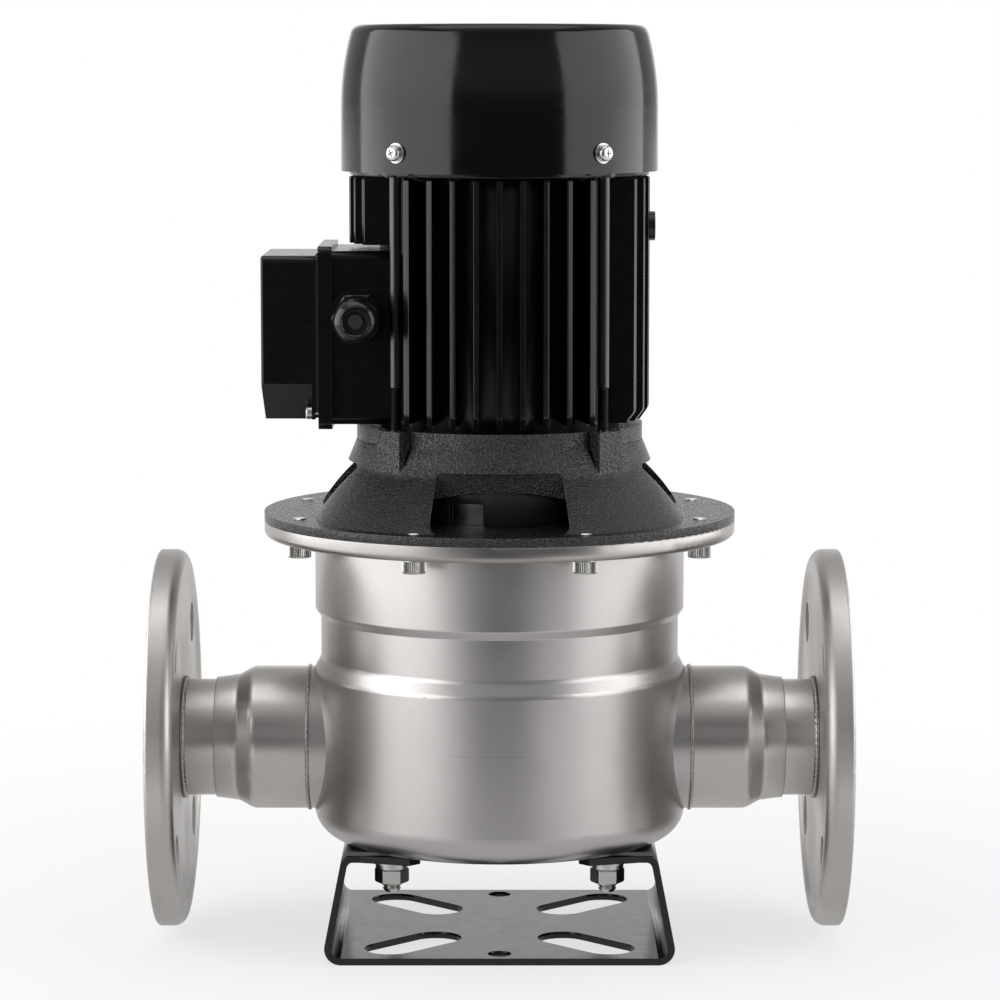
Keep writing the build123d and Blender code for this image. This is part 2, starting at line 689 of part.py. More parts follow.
# Suction chamber: leads the water from the inlet up to the impeller's eye
with BuildPart() as suction_chamber:
    revolve(ring_section(0, CHAMBER_RADIUS, CHAMBER_FLOOR, plate_floor), axis=Axis.Z)
    with BuildSketch(pipe_plane):
        Circle(collar_bore - SLIP)
    extrude(amount=-CHAMBER_SPOUT_END)
    revolve(
        ring_section(0, CHAMBER_RADIUS - CHAMBER_WALL, CHAMBER_FLOOR + CHAMBER_WALL, plate_floor),
        axis=Axis.Z,
        mode=Mode.SUBTRACT,
    )
    with BuildSketch(pipe_plane):
        Circle(collar_bore - SLIP - CHAMBER_WALL)
    extrude(amount=-CHAMBER_SPOUT_END, mode=Mode.SUBTRACT)
finish(suction_chamber.part, "suction_chamber")

with BuildPart() as diffuser:
    revolve(ring_section(WEAR_RING_OUTER, upper_inner - SLIP, plate_floor, plate_top), axis=Axis.Z)
    with BuildSketch(Plane.XY.offset(plate_floor)):
        with PolarLocations(
            DIFFUSER_PORT_CIRCLE / 2, DIFFUSER_VANE_COUNT, 0.75 * 360 / DIFFUSER_VANE_COUNT
        ):
            SlotOverall(DIFFUSER_PORT_LENGTH, DIFFUSER_PORT_WIDTH, rotation=90)
    extrude(amount=DIFFUSER_PLATE, mode=Mode.SUBTRACT)
    with BuildSketch(Plane.XY.offset(plate_top)):
        with BuildLine():
            vane_lines(DIFFUSER_VANE_COUNT, DIFFUSER_VANE_INNER, DIFFUSER_VANE_OUTER, 16)
        trace(line_width=VANE_THICKNESS)
    extrude(amount=COVER_FLOOR - SLIP - plate_top)
finish(diffuser.part, "diffuser")

with BuildPart() as wear_ring:
    revolve(
        ring_section(
            IMPELLER_EYE_OUTER + RUNNING_GAP, WEAR_RING_OUTER, plate_floor, plate_floor + WEAR_RING_HEIGHT
        ),
        axis=Axis.Z,
    )
finish(wear_ring.part, "wear_ring")

# Impeller with its fixings
with BuildPart() as impeller:
    revolve(
        half_section(
            (IMPELLER_EYE_INNER, eye_low, 0), (IMPELLER_EYE_OUTER, eye_low, 0),
            (IMPELLER_EYE_OUTER, shroud_low, 0), (IMPELLER_RADIUS, shroud_low, 0),
            (IMPELLER_RADIUS, shroud_low + SHROUD, 0), (IMPELLER_EYE_INNER, shroud_low + SHROUD, 0),
        ),
        axis=Axis.Z,
    )
    revolve(
        half_section(
            (SHAFT_HUB_RADIUS + FIT, shroud_low, 0), (IMPELLER_HUB_RADIUS, shroud_low, 1),
            (IMPELLER_HUB_RADIUS, shroud_high, 0), (IMPELLER_RADIUS, shroud_high, 0),
            (IMPELLER_RADIUS, impeller_top, 0), (IMPELLER_HUB_RADIUS, impeller_top, 0),
            (IMPELLER_HUB_RADIUS, hub_top, 0), (SHAFT_HUB_RADIUS + FIT, hub_top, 0),
        ),
        axis=Axis.Z,
    )
    with BuildSketch(Plane.XY.offset(shroud_low + SHROUD)):
        with BuildLine():
            vane_lines(IMPELLER_VANES, IMPELLER_EYE_OUTER + 1, IMPELLER_RADIUS - 1, -62)
        trace(line_width=VANE_THICKNESS)
    extrude(amount=IMPELLER_PASSAGE)
    with BuildSketch(Plane.XY.offset(hub_top)):
        Rectangle(
            SHAFT_HUB_RADIUS + KEY_HEIGHT / 2 + SLIP, KEY_WIDTH + 2 * FIT, align=(Align.MIN, Align.CENTER)
        )
    extrude(amount=-(hub_top - shroud_low), mode=Mode.SUBTRACT)
finish(impeller.part, "impeller")

with BuildPart() as impeller_key:
    with BuildSketch(Plane.XY.offset(hub_top - 2 - KEY_LENGTH)):
        with Locations((SHAFT_HUB_RADIUS, 0)):
            Rectangle(KEY_HEIGHT, KEY_WIDTH)
    extrude(amount=KEY_LENGTH)
finish(impeller_key.part, "impeller_key")

with BuildPart() as impeller_nut:
    with BuildSketch(Plane.XY.offset(shroud_low - IMPELLER_NUT_HEIGHT)):
        RegularPolygon(IMPELLER_NUT_ACROSS_FLATS / 2, 6, major_radius=False)
    extrude(amount=IMPELLER_NUT_HEIGHT)
    chamfer(impeller_nut.faces().group_by(Axis.Z)[0].edges(), 0.8)
    with BuildSketch(Plane.XY.offset(shroud_low)):
        Circle(IMPELLER_NUT_FLANGE_RADIUS)
    extrude(amount=-IMPELLER_NUT_FLANGE)
    with BuildSketch(Plane.XY.offset(shroud_low)):
        Circle(THREAD_RADIUS + FIT)
    extrude(amount=-IMPELLER_NUT_HEIGHT, mode=Mode.SUBTRACT)
finish(impeller_nut.part, "impeller_nut")

# Casing cover: clamped rim, pressed bowl, raised cup and seal hub
cover_bowl_radius = upper_inner - SLIP * 2
o_ring_centre = upper_inner - O_RING_SECTION / 2 - 0.05
with BuildPart() as casing_cover:
    revolve(
        half_section(
            (COVER_RIM_RADIUS, rim_seat, 0), (COVER_RIM_RADIUS, JOINT_FACE, 0),
            (cover_bowl_radius - 2 * COVER_WALL, JOINT_FACE, 0),
            (cover_bowl_radius - 2 * COVER_WALL, COVER_FLOOR + COVER_WALL, 1),
            (COVER_CUP_RADIUS, COVER_FLOOR + COVER_WALL, 1), (COVER_CUP_RADIUS, COVER_TOP, 3),
            (SEAT_INNER_RADIUS, COVER_TOP, 0), (SEAT_INNER_RADIUS, seat_high, 0),
            (SEAL_POCKET_RADIUS, seat_high, 0), (SEAL_POCKET_RADIUS, SEAL_HUB_LOW, 0),
            (SEAL_HUB_RADIUS, SEAL_HUB_LOW, 0), (SEAL_HUB_RADIUS, COVER_TOP - COVER_WALL, 0),
            (COVER_CUP_RADIUS - COVER_WALL, COVER_TOP - COVER_WALL, 1),
            (COVER_CUP_RADIUS - COVER_WALL, COVER_FLOOR, 1), (cover_bowl_radius, COVER_FLOOR, 0.5),
            (cover_bowl_radius, rim_seat, 0),
        ),
        axis=Axis.Z,
    )
    with BuildSketch(Plane.XZ):
        with Locations((o_ring_centre, O_RING_CENTRE_Z)):
            Circle(O_RING_SECTION / 2 + 0.05)
    revolve(axis=Axis.Z, mode=Mode.SUBTRACT)
finish(casing_cover.part, "casing_cover")

with BuildPart() as casing_o_ring:
    with BuildSketch(Plane.XZ):
        with Locations((o_ring_centre, O_RING_CENTRE_Z)):
            Circle(O_RING_SECTION / 2)
    revolve(axis=Axis.Z)
finish(casing_o_ring.part, "casing_o_ring")

# Shaft seal: fixed seat above, sprung ring below
with BuildPart() as seal_seat:
    revolve(
        ring_section(SEAT_INNER_RADIUS, SEAL_POCKET_RADIUS - FIT, SEAT_LOW, seat_high), axis=Axis.Z
    )
finish(seal_seat.part, "seal_seat")

with BuildPart() as seal_ring:
    revolve(
        ring_section(SHAFT_SEAL_RADIUS + FIT, SEAL_RING_RADIUS, seal_ring_low, seal_ring_high),
        axis=Axis.Z,
    )
finish(seal_ring.part, "seal_ring")

with BuildPart() as seal_collar:
    revolve(
        ring_section(SHAFT_SEAL_RADIUS + FIT, SEAL_RING_RADIUS, hub_top, seal_collar_high), axis=Axis.Z
    )
finish(seal_collar.part, "seal_collar")

spring_radius = (SHAFT_SEAL_RADIUS + SEAL_RING_RADIUS) / 2
spring_low = seal_collar_high + SEAL_SPRING_WIRE / 2 + FIT
spring_height = seal_ring_low - seal_collar_high - SEAL_SPRING_WIRE - 2 * FIT
with BuildPart() as seal_spring:
    with BuildLine() as spring_line:
        Helix(spring_height / SEAL_SPRING_TURNS, spring_height, spring_radius, center=(0, 0, spring_low))
    with BuildSketch(Plane(spring_line.edge() @ 0, z_dir=spring_line.edge() % 0)):
        Circle(SEAL_SPRING_WIRE / 2)
    sweep(is_frenet=True)
finish(seal_spring.part, "seal_spring")

# Lantern: disc, flared skirt with windows and lugs, bearing hub and spigot
skirt_inset = 2 * SKIRT_WALL
with BuildPart() as lantern:
    with BuildSketch(Plane.XY.offset(JOINT_FACE)):
        Circle(JOINT_RADIUS)
    extrude(amount=DISC_THICKNESS)
    for low, high in (("base", "waist"), ("waist", "top")):
        for level in (low, high):
            if level == "base":
                with BuildSketch(Plane.XY.offset(disc_top)):
                    RectangleRounded(SKIRT_BASE_X, SKIRT_BASE_Y, SKIRT_BASE_CORNER)
            elif level == "waist":
                with BuildSketch(Plane.XY.offset(SKIRT_WAIST_Z)):
                    RectangleRounded(SKIRT_WAIST_X, SKIRT_WAIST_Y, SKIRT_WAIST_CORNER)
            else:
                with BuildSketch(Plane.XY.offset(SKIRT_TOP_Z)):
                    RectangleRounded(
                        2 * SKIRT_TOP_RADIUS, 2 * SKIRT_TOP_RADIUS + 1, SKIRT_TOP_RADIUS - 1
                    )
        loft(ruled=True)
    with BuildSketch(Plane.XY.offset(SKIRT_TOP_Z)):
        Circle(SKIRT_TOP_RADIUS)
    extrude(amount=LANTERN_TOP - SKIRT_TOP_Z)
    for quarter in range(4):
        direction = 45 + 90 * quarter
        with BuildSketch(radial_plane(direction, 0)):
            with Locations((0, (LUG_LOW + LANTERN_TOP) / 2)):
                Rectangle(LUG_WIDTH, LANTERN_TOP - LUG_LOW)
        extrude(amount=LUG_REACH)
        for notch_side in (-1, 1):
            notch_edge = notch_side * (LUG_WIDTH / 2 + NOTCH_GAP_TOP)
            notch_tip = notch_side * (LUG_WIDTH / 2 + NOTCH_GAP_TIP)
            with BuildSketch(radial_plane(direction, 0, NOTCH_FLOOR)):
                Polygon(
                    (notch_edge, LANTERN_TOP), (notch_edge + notch_side * NOTCH_WIDTH, LANTERN_TOP),
                    (notch_tip, NOTCH_TIP_Z), align=None,
                )
            extrude(amount=LUG_REACH, mode=Mode.SUBTRACT)
    # The hollow under the ceiling, kept at the wall's thickness inside the skirt
    with BuildSketch(Plane.XY.offset(disc_top)):
        RectangleRounded(
            SKIRT_BASE_X - skirt_inset, SKIRT_BASE_Y - skirt_inset, SKIRT_BASE_CORNER - SKIRT_WALL
        )
    with BuildSketch(Plane.XY.offset(hollow_step)):
        RectangleRounded(
            SKIRT_WAIST_X - skirt_inset + 2, SKIRT_WAIST_Y - skirt_inset + 2, SKIRT_WAIST_CORNER - SKIRT_WALL
        )
    loft(ruled=True, mode=Mode.SUBTRACT)
    with BuildSketch(Plane.XY.offset(hollow_step)):
        Circle(SKIRT_TOP_RADIUS - SKIRT_WALL + 1)
    extrude(amount=LANTERN_CEILING - hollow_step, mode=Mode.SUBTRACT)
    with BuildSketch(Plane.XY.offset(JOINT_FACE)):
        Circle(DISC_BORE_RADIUS)
    extrude(amount=DISC_THICKNESS, mode=Mode.SUBTRACT)
    # Four windows, cut from outside through the skirt's wall
    for direction in (0, 90, 180, 270):
        with BuildSketch(radial_plane(direction, 0, WINDOW_FLOOR_RADIUS)) as window:
            Polygon(
                (-WINDOW_HALF_BOTTOM, disc_top), (WINDOW_HALF_BOTTOM, disc_top),
                (WINDOW_HALF_TOP, WINDOW_TOP), (-WINDOW_HALF_TOP, WINDOW_TOP), align=None,
            )
            fillet(window.vertices().group_by(Axis.Z)[-1], WINDOW_CORNER)
        extrude(amount=JOINT_RADIUS, mode=Mode.SUBTRACT)
    # Bearing hub, spigot and the tapped holes
    revolve(
        ring_section(SHAFT_LOWER_RADIUS + 3, LOWER_BEARING_OUTER + 6.5, LOWER_BEARING_Z - 3, LANTERN_TOP),
        axis=Axis.Z,
    )
    revolve(
        ring_section(0, LOWER_BEARING_OUTER + FIT, LOWER_BEARING_Z, LANTERN_TOP), axis=Axis.Z,
        mode=Mode.SUBTRACT,
    )
    revolve(
        ring_section(SPIGOT_INNER, SPIGOT_RADIUS, LANTERN_TOP, LANTERN_TOP + SPIGOT_HEIGHT), axis=Axis.Z
    )
    with BuildSketch(Plane.XY.offset(ROD_END - 1)):
        with PolarLocations(ROD_CIRCLE / 2, 4, 45):
            Circle(ROD_DIAMETER / 2 + FIT)
    extrude(amount=LANTERN_TOP - ROD_END + 1, mode=Mode.SUBTRACT)
    with BuildSketch(Plane.XY.offset(JOINT_FACE)):
        with PolarLocations(JOINT_SCREW_CIRCLE / 2, JOINT_SCREW_COUNT, 180 / JOINT_SCREW_COUNT):
            Circle(JOINT_SCREW_DIAMETER / 2 + FIT)
    extrude(amount=DISC_THICKNESS + JOINT_SCREW_PROUD + SLIP, mode=Mode.SUBTRACT)
finish(lantern.part, "lantern")

with BuildPart() as guard_drum:
    revolve(ring_section(DRUM_RADIUS - DRUM_THICKNESS, DRUM_RADIUS, disc_top, hollow_step), axis=Axis.Z)
    for number in range(DRUM_OPENINGS):
        direction = DRUM_OPENING_ANGLE + number * 360 / DRUM_OPENINGS
        with BuildSketch(radial_plane(direction, 0, DRUM_RADIUS / 2)):
            with Locations((0, (disc_top + DRUM_OPENING_TOP) / 2)):
                Rectangle(DRUM_OPENING_WIDTH, DRUM_OPENING_TOP - disc_top)
        extrude(amount=DRUM_RADIUS, mode=Mode.SUBTRACT)
finish(guard_drum.part, "guard_drum")

# Shaft, one turned bar with the keyway at the impeller
with BuildPart() as shaft:
    revolve(
        half_section(
            (0, SHAFT_END, 0), (THREAD_RADIUS, SHAFT_END, 0.8), (THREAD_RADIUS, shroud_low, 0),
            (SHAFT_HUB_RADIUS, shroud_low, 0), (SHAFT_HUB_RADIUS, hub_top, 0),
            (SHAFT_SEAL_RADIUS, hub_top, 0), (SHAFT_SEAL_RADIUS, LOWER_BEARING_Z - 3, 0),
            (SHAFT_LOWER_RADIUS, LOWER_BEARING_Z - 3, 0), (SHAFT_LOWER_RADIUS, lower_bearing_top, 0),
            (SHAFT_ROTOR_RADIUS, lower_bearing_top, 0), (SHAFT_ROTOR_RADIUS, UPPER_BEARING_Z, 0),
            (SHAFT_UPPER_RADIUS, UPPER_BEARING_Z, 0), (SHAFT_UPPER_RADIUS, bearing_cap_z, 0),
            (SHAFT_FAN_RADIUS, bearing_cap_z, 0), (SHAFT_FAN_RADIUS, SHAFT_TOP, 0.8), (0, SHAFT_TOP, 0),
        ),
        axis=Axis.Z,
    )
    with BuildSketch(Plane.XY.offset(hub_top - 2 - KEY_LENGTH)):
        with Locations((SHAFT_HUB_RADIUS - KEY_HEIGHT / 2, 0)):
            Rectangle(KEY_HEIGHT, KEY_WIDTH, align=(Align.MIN, Align.CENTER))
    extrude(amount=KEY_LENGTH, mode=Mode.SUBTRACT)
finish(shaft.part, "shaft")

with BuildPart() as shaft_slinger:
    revolve(
        half_section(
            (SHAFT_SEAL_RADIUS + FIT, slinger_low, 0), (SLINGER_RADIUS, slinger_low, 0.5),
            (SLINGER_RADIUS, slinger_low + SLINGER_HEIGHT / 2, 0.4),
            (SHAFT_SEAL_RADIUS + 4, slinger_low + SLINGER_HEIGHT, 0.5),
            (SHAFT_SEAL_RADIUS + FIT, slinger_low + SLINGER_HEIGHT, 0),
        ),
        axis=Axis.Z,
    )
finish(shaft_slinger.part, "shaft_slinger")

# Bearings: the same four pieces twice
bearings = (
    ("lower", LOWER_BEARING_Z, LOWER_BEARING_WIDTH, SHAFT_LOWER_RADIUS, LOWER_BEARING_OUTER,
     LOWER_BALL_CIRCLE, LOWER_BALL_RADIUS),
    ("upper", UPPER_BEARING_Z, UPPER_BEARING_WIDTH, SHAFT_UPPER_RADIUS, UPPER_BEARING_OUTER,
     UPPER_BALL_CIRCLE, UPPER_BALL_RADIUS),
)
for place, bearing_low, width, bore, outer, ball_circle, ball in bearings:
    middle = bearing_low + width / 2
    race_depth = 0.62 * ball
    with BuildPart() as inner_ring:
        with BuildSketch(Plane.XZ):
            with Locations((bore + FIT, middle)):
                Rectangle(
                    ball_circle - race_depth - bore - FIT, width, align=(Align.MIN, Align.CENTER)
                )
            with Locations((ball_circle, middle)):
                Circle(ball + BALL_GAP, mode=Mode.SUBTRACT)
        revolve(axis=Axis.Z)
    finish(inner_ring.part, f"{place}_bearing_inner_ring")

    with BuildPart() as outer_ring:
        with BuildSketch(Plane.XZ):
            with Locations((outer, middle)):
                Rectangle(outer - ball_circle - race_depth, width, align=(Align.MAX, Align.CENTER))
            with Locations((ball_circle, middle)):
                Circle(ball + BALL_GAP, mode=Mode.SUBTRACT)
        revolve(axis=Axis.Z)
    finish(outer_ring.part, f"{place}_bearing_outer_ring")

    with BuildPart(Plane.XY.offset(middle)) as balls:
        with PolarLocations(ball_circle, BALL_COUNT):
            Sphere(ball)
    finish(balls.part, f"{place}_bearing_balls")

    with BuildPart() as cage:
        with BuildSketch(Plane.XY.offset(middle - ball - CAGE_EDGE)):
            Circle(ball_circle + race_depth - 2 * CAGE_GAP)
            Circle(ball_circle - race_depth + 2 * CAGE_GAP, mode=Mode.SUBTRACT)
        extrude(amount=2 * (ball + CAGE_EDGE))
        for number in range(BALL_COUNT):
            with BuildSketch(radial_plane(number * 360 / BALL_COUNT, middle)):
                Circle(ball + CAGE_GAP)
            extrude(amount=outer, mode=Mode.SUBTRACT)
    finish(cage.part, f"{place}_bearing_cage")

with BuildPart() as wave_spring:
    revolve(
        ring_section(
            UPPER_BALL_CIRCLE + 2.5, UPPER_BEARING_OUTER - FIT, bearing_cap_z - WAVE_SPRING_HEIGHT,
            bearing_cap_z,
        ),
        axis=Axis.Z,
    )
finish(wave_spring.part, "wave_spring")

# Motor frame: parallel fins on four sides, bare corners for the long screws
with BuildPart() as motor_frame:
    with BuildSketch(Plane.XY.offset(FIN_LOW)):
        with GridLocations(FIN_PITCH, 0, FRONT_FIN_COUNT, 1):
            Rectangle(FIN_THICKNESS, 2 * FRAME_RADIUS)
        with GridLocations(0, FIN_PITCH, 1, SIDE_FIN_COUNT):
            Rectangle(2 * FRAME_RADIUS, FIN_THICKNESS)
    extrude(amount=FIN_HIGH - FIN_LOW)
    revolve(
        half_section(
            (0, FIN_LOW, 0), (FRAME_RADIUS - 3.5, FIN_LOW, 0), (FRAME_RADIUS, FIN_LOW + 5, 2.5),
            (FRAME_RADIUS, FIN_HIGH, 1.0), (0, FIN_HIGH, 0),
        ),
        axis=Axis.Z,
        mode=Mode.INTERSECT,
    )
    with BuildSketch(Plane.XY.offset(BOX_Z - BOX_FLANGE_HEIGHT / 2 - 0.5)):
        with Locations((-BOX_BACK_X + RUNNING_GAP, 0)):
            Rectangle(FRAME_RADIUS, BOX_DEPTH + 2, align=(Align.MAX, Align.CENTER))
    extrude(amount=BOX_FLANGE_HEIGHT + 1, mode=Mode.SUBTRACT)
    with BuildSketch(Plane.XY.offset(LANTERN_TOP)):
        Circle(FRAME_CORE_RADIUS)
    extrude(amount=FRAME_TOP - LANTERN_TOP)
    with BuildSketch(radial_plane(0, SIDE_BOSS_Z)):
        Circle(SIDE_BOSS_RADIUS)
    extrude(amount=SIDE_BOSS_REACH)
    with BuildSketch(Plane.XY.offset(LANTERN_TOP)):
        Circle(FRAME_BORE_RADIUS)
    extrude(amount=FRAME_TOP - LANTERN_TOP, mode=Mode.SUBTRACT)
    with BuildSketch(radial_plane(180, BOX_Z)):
        Circle(WIRE_HOLE_RADIUS)
    extrude(amount=FRAME_RADIUS, mode=Mode.SUBTRACT)
finish(motor_frame.part, "motor_frame")

with BuildPart() as through_bolts:
    with BuildSketch(Plane.XY.offset(ROD_END)):
        with PolarLocations(ROD_CIRCLE / 2, 4, 45):
            Circle(ROD_DIAMETER / 2)
    extrude(amount=shield_top - ROD_END)
    with BuildSketch(Plane.XY.offset(shield_top)):
        with PolarLocations(ROD_CIRCLE / 2, 4, 45):
            RegularPolygon(ROD_HEAD_RADIUS, 6)
    extrude(amount=ROD_HEAD_HEIGHT)
finish(through_bolts.part, "through_bolts")

# Stator with its windings
with BuildPart() as stator_core:
    with BuildSketch(Plane.XY.offset(STATOR_LOW)):
        Circle(FRAME_BORE_RADIUS - FIT)
        Circle(STATOR_BORE, mode=Mode.SUBTRACT)
        with PolarLocations(STATOR_SLOT_INNER, SLOT_COUNT):
            Rectangle(
                STATOR_SLOT_OUTER - STATOR_SLOT_INNER, STATOR_SLOT_WIDTH,
                align=(Align.MIN, Align.CENTER), mode=Mode.SUBTRACT,
            )
    extrude(amount=STATOR_HIGH - STATOR_LOW)
finish(stator_core.part, "stator_core")

with BuildPart() as windings:
    for ring_low in (STATOR_LOW - WINDING_OVERHANG, STATOR_HIGH + SLIP):
        ring_high = ring_low + WINDING_OVERHANG - SLIP
        revolve(
            half_section(
                (WINDING_INNER, ring_low, 4), (WINDING_OUTER, ring_low, 4),
                (WINDING_OUTER, ring_high, 4), (WINDING_INNER, ring_high, 4),
            ),
            axis=Axis.Z,
        )
    with BuildSketch(Plane.XY.offset(STATOR_LOW - WINDING_OVERHANG / 2)):
        with PolarLocations(STATOR_SLOT_INNER + SLIP, SLOT_COUNT):
            Rectangle(
                STATOR_SLOT_OUTER - STATOR_SLOT_INNER - 2 * SLIP, STATOR_SLOT_WIDTH - 2 * SLIP,
                align=(Align.MIN, Align.CENTER),
            )
    extrude(amount=STATOR_HIGH - STATOR_LOW + WINDING_OVERHANG)
finish(windings.part, "windings")

with BuildPart() as rotor_core:
    revolve(
        ring_section(
            SHAFT_ROTOR_RADIUS + FIT, STATOR_BORE - RUNNING_GAP, STATOR_LOW, STATOR_HIGH
        ),
        axis=Axis.Z,
    )
finish(rotor_core.part, "rotor_core")

with BuildPart() as rotor_end_rings:
    for ring_low in (STATOR_LOW - END_RING_HEIGHT, STATOR_HIGH):
        revolve(
            ring_section(END_RING_INNER, END_RING_OUTER, ring_low, ring_low + END_RING_HEIGHT),
            axis=Axis.Z,
        )
finish(rotor_end_rings.part, "rotor_end_rings")

# Upper end shield with its bearing hub and the tabs that hold the fan cover
with BuildPart() as end_shield:
    revolve(
        half_section(
            (SHAFT_UPPER_RADIUS + 1.5, bearing_cap_z, 0), (UPPER_BEARING_OUTER + FIT, bearing_cap_z, 0),
            (UPPER_BEARING_OUTER + FIT, SHIELD_HUB_LOW, 0), (SHIELD_HUB_RADIUS, SHIELD_HUB_LOW, 0),
            (SHIELD_HUB_RADIUS, FRAME_TOP - 4, 0), (FRAME_BORE_RADIUS - SLIP, FRAME_TOP - 4, 0),
            (FRAME_BORE_RADIUS - SLIP, FRAME_TOP, 0), (SHIELD_RADIUS, FRAME_TOP, 0.5),
            (SHIELD_RADIUS, shield_top, 0.5), (SHAFT_UPPER_RADIUS + 1.5, shield_top, 0),
        ),
        axis=Axis.Z,
    )
    for direction in cover_screw_angles:
        with BuildSketch(radial_plane(direction, 0, tab_outer)):
            with Locations((0, (FRAME_TOP + 1 + TAB_TOP) / 2)):
                Rectangle(TAB_WIDTH, TAB_TOP - FRAME_TOP - 1)
        extrude(amount=-TAB_THICKNESS)
    for direction in cover_screw_angles:
        with BuildSketch(radial_plane(direction, COVER_SCREW_Z, tab_outer)):
            Circle(COVER_SCREW_DIAMETER / 2 + FIT)
        extrude(amount=-TAB_THICKNESS, mode=Mode.SUBTRACT)
    # Ears for the long screws, with room for their heads beside the tabs
    with BuildSketch(Plane.XY.offset(FRAME_TOP)):
        with PolarLocations(ROD_CIRCLE / 2, 4, 45):
            Circle(EAR_RADIUS)
    extrude(amount=SHIELD_THICKNESS)
    with BuildSketch(Plane.XY.offset(FRAME_TOP)):
        with PolarLocations(ROD_CIRCLE / 2, 4, 45):
            Circle(ROD_DIAMETER / 2 + SLIP)
    extrude(amount=SHIELD_THICKNESS, mode=Mode.SUBTRACT)
    with BuildSketch(Plane.XY.offset(shield_top)):
        with PolarLocations(ROD_CIRCLE / 2, 4, 45):
            Circle(ROD_HEAD_RADIUS + SLIP)
    extrude(amount=ROD_HEAD_HEIGHT + SLIP, mode=Mode.SUBTRACT)
finish(end_shield.part, "end_shield")

# Cooling fan
with BuildPart() as fan:
    revolve(
        half_section(
            (SHAFT_FAN_RADIUS + FIT, FAN_LOW, 0), (FAN_RADIUS, FAN_LOW, 0),
            (FAN_RADIUS, FAN_LOW + FAN_PLATE, 0), (FAN_HUB_RADIUS, FAN_LOW + FAN_PLATE, 2),
            (FAN_HUB_RADIUS, FAN_HIGH, 0.5), (SHAFT_FAN_RADIUS + FIT, FAN_HIGH, 0),
        ),
        axis=Axis.Z,
    )
    with BuildSketch(Plane.XY.offset(FAN_LOW + FAN_PLATE)):
        with PolarLocations(FAN_HUB_RADIUS - 1, FAN_BLADES):
            Rectangle(FAN_RADIUS - FAN_HUB_RADIUS, FAN_PLATE, align=(Align.MIN, Align.CENTER))
    extrude(amount=FAN_HIGH - FAN_LOW - FAN_PLATE)
finish(fan.part, "fan")

# Fan cover: a sheet cap with gently arched sides, a rounded corner and vent slots in its top
crown_height = FAN_COVER_TOP - 2.0


def cover_side(inset, height):
    """The radius of the cover's arched side at a height, inset by the sheet for its inner face."""
    rise = height - FAN_COVER_STRAIGHT_TOP
    return FAN_COVER_RADIUS - FAN_COVER_SIDE_ARC + math.sqrt((FAN_COVER_SIDE_ARC - inset) ** 2 - rise**2)


with BuildPart() as fan_cover:
    for inset, mode in ((0, Mode.ADD), (COVER_SHEET, Mode.SUBTRACT)):
        cap = FAN_COVER_TOP - inset
        rim = FAN_COVER_RADIUS - inset
        middle = (FAN_COVER_STRAIGHT_TOP + cap) / 2
        with BuildSketch(Plane.XZ):
            with BuildLine():
                Line((0, cap), (cover_side(inset, cap), cap))
                ThreePointArc(
                    (cover_side(inset, cap), cap), (cover_side(inset, middle), middle),
                    (rim, FAN_COVER_STRAIGHT_TOP),
                )
                Line((rim, FAN_COVER_STRAIGHT_TOP), (rim, FAN_COVER_LOW))
                Line((rim, FAN_COVER_LOW), (0, FAN_COVER_LOW))
                Line((0, FAN_COVER_LOW), (0, cap))
            make_face()
            fillet(vertices().sort_by(Axis.Y)[-2:].sort_by(Axis.X)[-1], FAN_COVER_CORNER - inset)
        revolve(axis=Axis.Z, mode=mode)
    with BuildSketch(Plane.XY.offset(crown_height - COVER_SHEET)):
        for ring in range(VENT_RINGS):
            vent_radius = VENT_RING_START + ring * VENT_RING_PITCH
            gap = VENT_GAP_DEGREES * VENT_RING_START / vent_radius + 6
            for quarter in range(4):
                with BuildLine(mode=Mode.PRIVATE) as vent_arc:
                    CenterArc((0, 0), vent_radius, 90 * quarter + gap / 2 + 45, 90 - gap)
                SlotArc(vent_arc.edge(), VENT_WIDTH)
    extrude(amount=FAN_COVER_TOP - crown_height + COVER_SHEET, mode=Mode.SUBTRACT)
    for direction in cover_screw_angles:
        with BuildSketch(radial_plane(direction, COVER_SCREW_Z, FAN_COVER_RADIUS - 3)):
            Circle(COVER_SCREW_DIAMETER / 2 + SLIP)
        extrude(amount=4, mode=Mode.SUBTRACT)
finish(fan_cover.part, "fan_cover")

washer_face = FAN_COVER_RADIUS + COVER_WASHER_THICKNESS
with BuildPart() as fan_cover_screws:
    for direction in cover_screw_angles:
        with BuildSketch(radial_plane(direction, COVER_SCREW_Z, FAN_COVER_RADIUS)):
            Circle(COVER_WASHER_RADIUS)
        extrude(amount=COVER_WASHER_THICKNESS)
        with BuildSketch(radial_plane(direction, COVER_SCREW_Z, washer_face)):
            Circle(COVER_SCREW_HEAD_RADIUS)
        extrude(amount=COVER_SCREW_HEAD_HEIGHT, taper=12)
        with BuildSketch(radial_plane(direction, COVER_SCREW_Z, washer_face)):
            Circle(COVER_SCREW_DIAMETER / 2)
        extrude(amount=-COVER_SCREW_LENGTH)
        with BuildSketch(radial_plane(direction, COVER_SCREW_Z, washer_face + COVER_SCREW_HEAD_HEIGHT)):
            Rectangle(COVER_SCREW_HEAD_RADIUS, COVER_SCREW_DIAMETER / 5)
            Rectangle(COVER_SCREW_DIAMETER / 5, COVER_SCREW_HEAD_RADIUS)
        extrude(amount=-COVER_SCREW_HEAD_HEIGHT / 2, mode=Mode.SUBTRACT)
finish(fan_cover_screws.part, "fan_cover_screws")

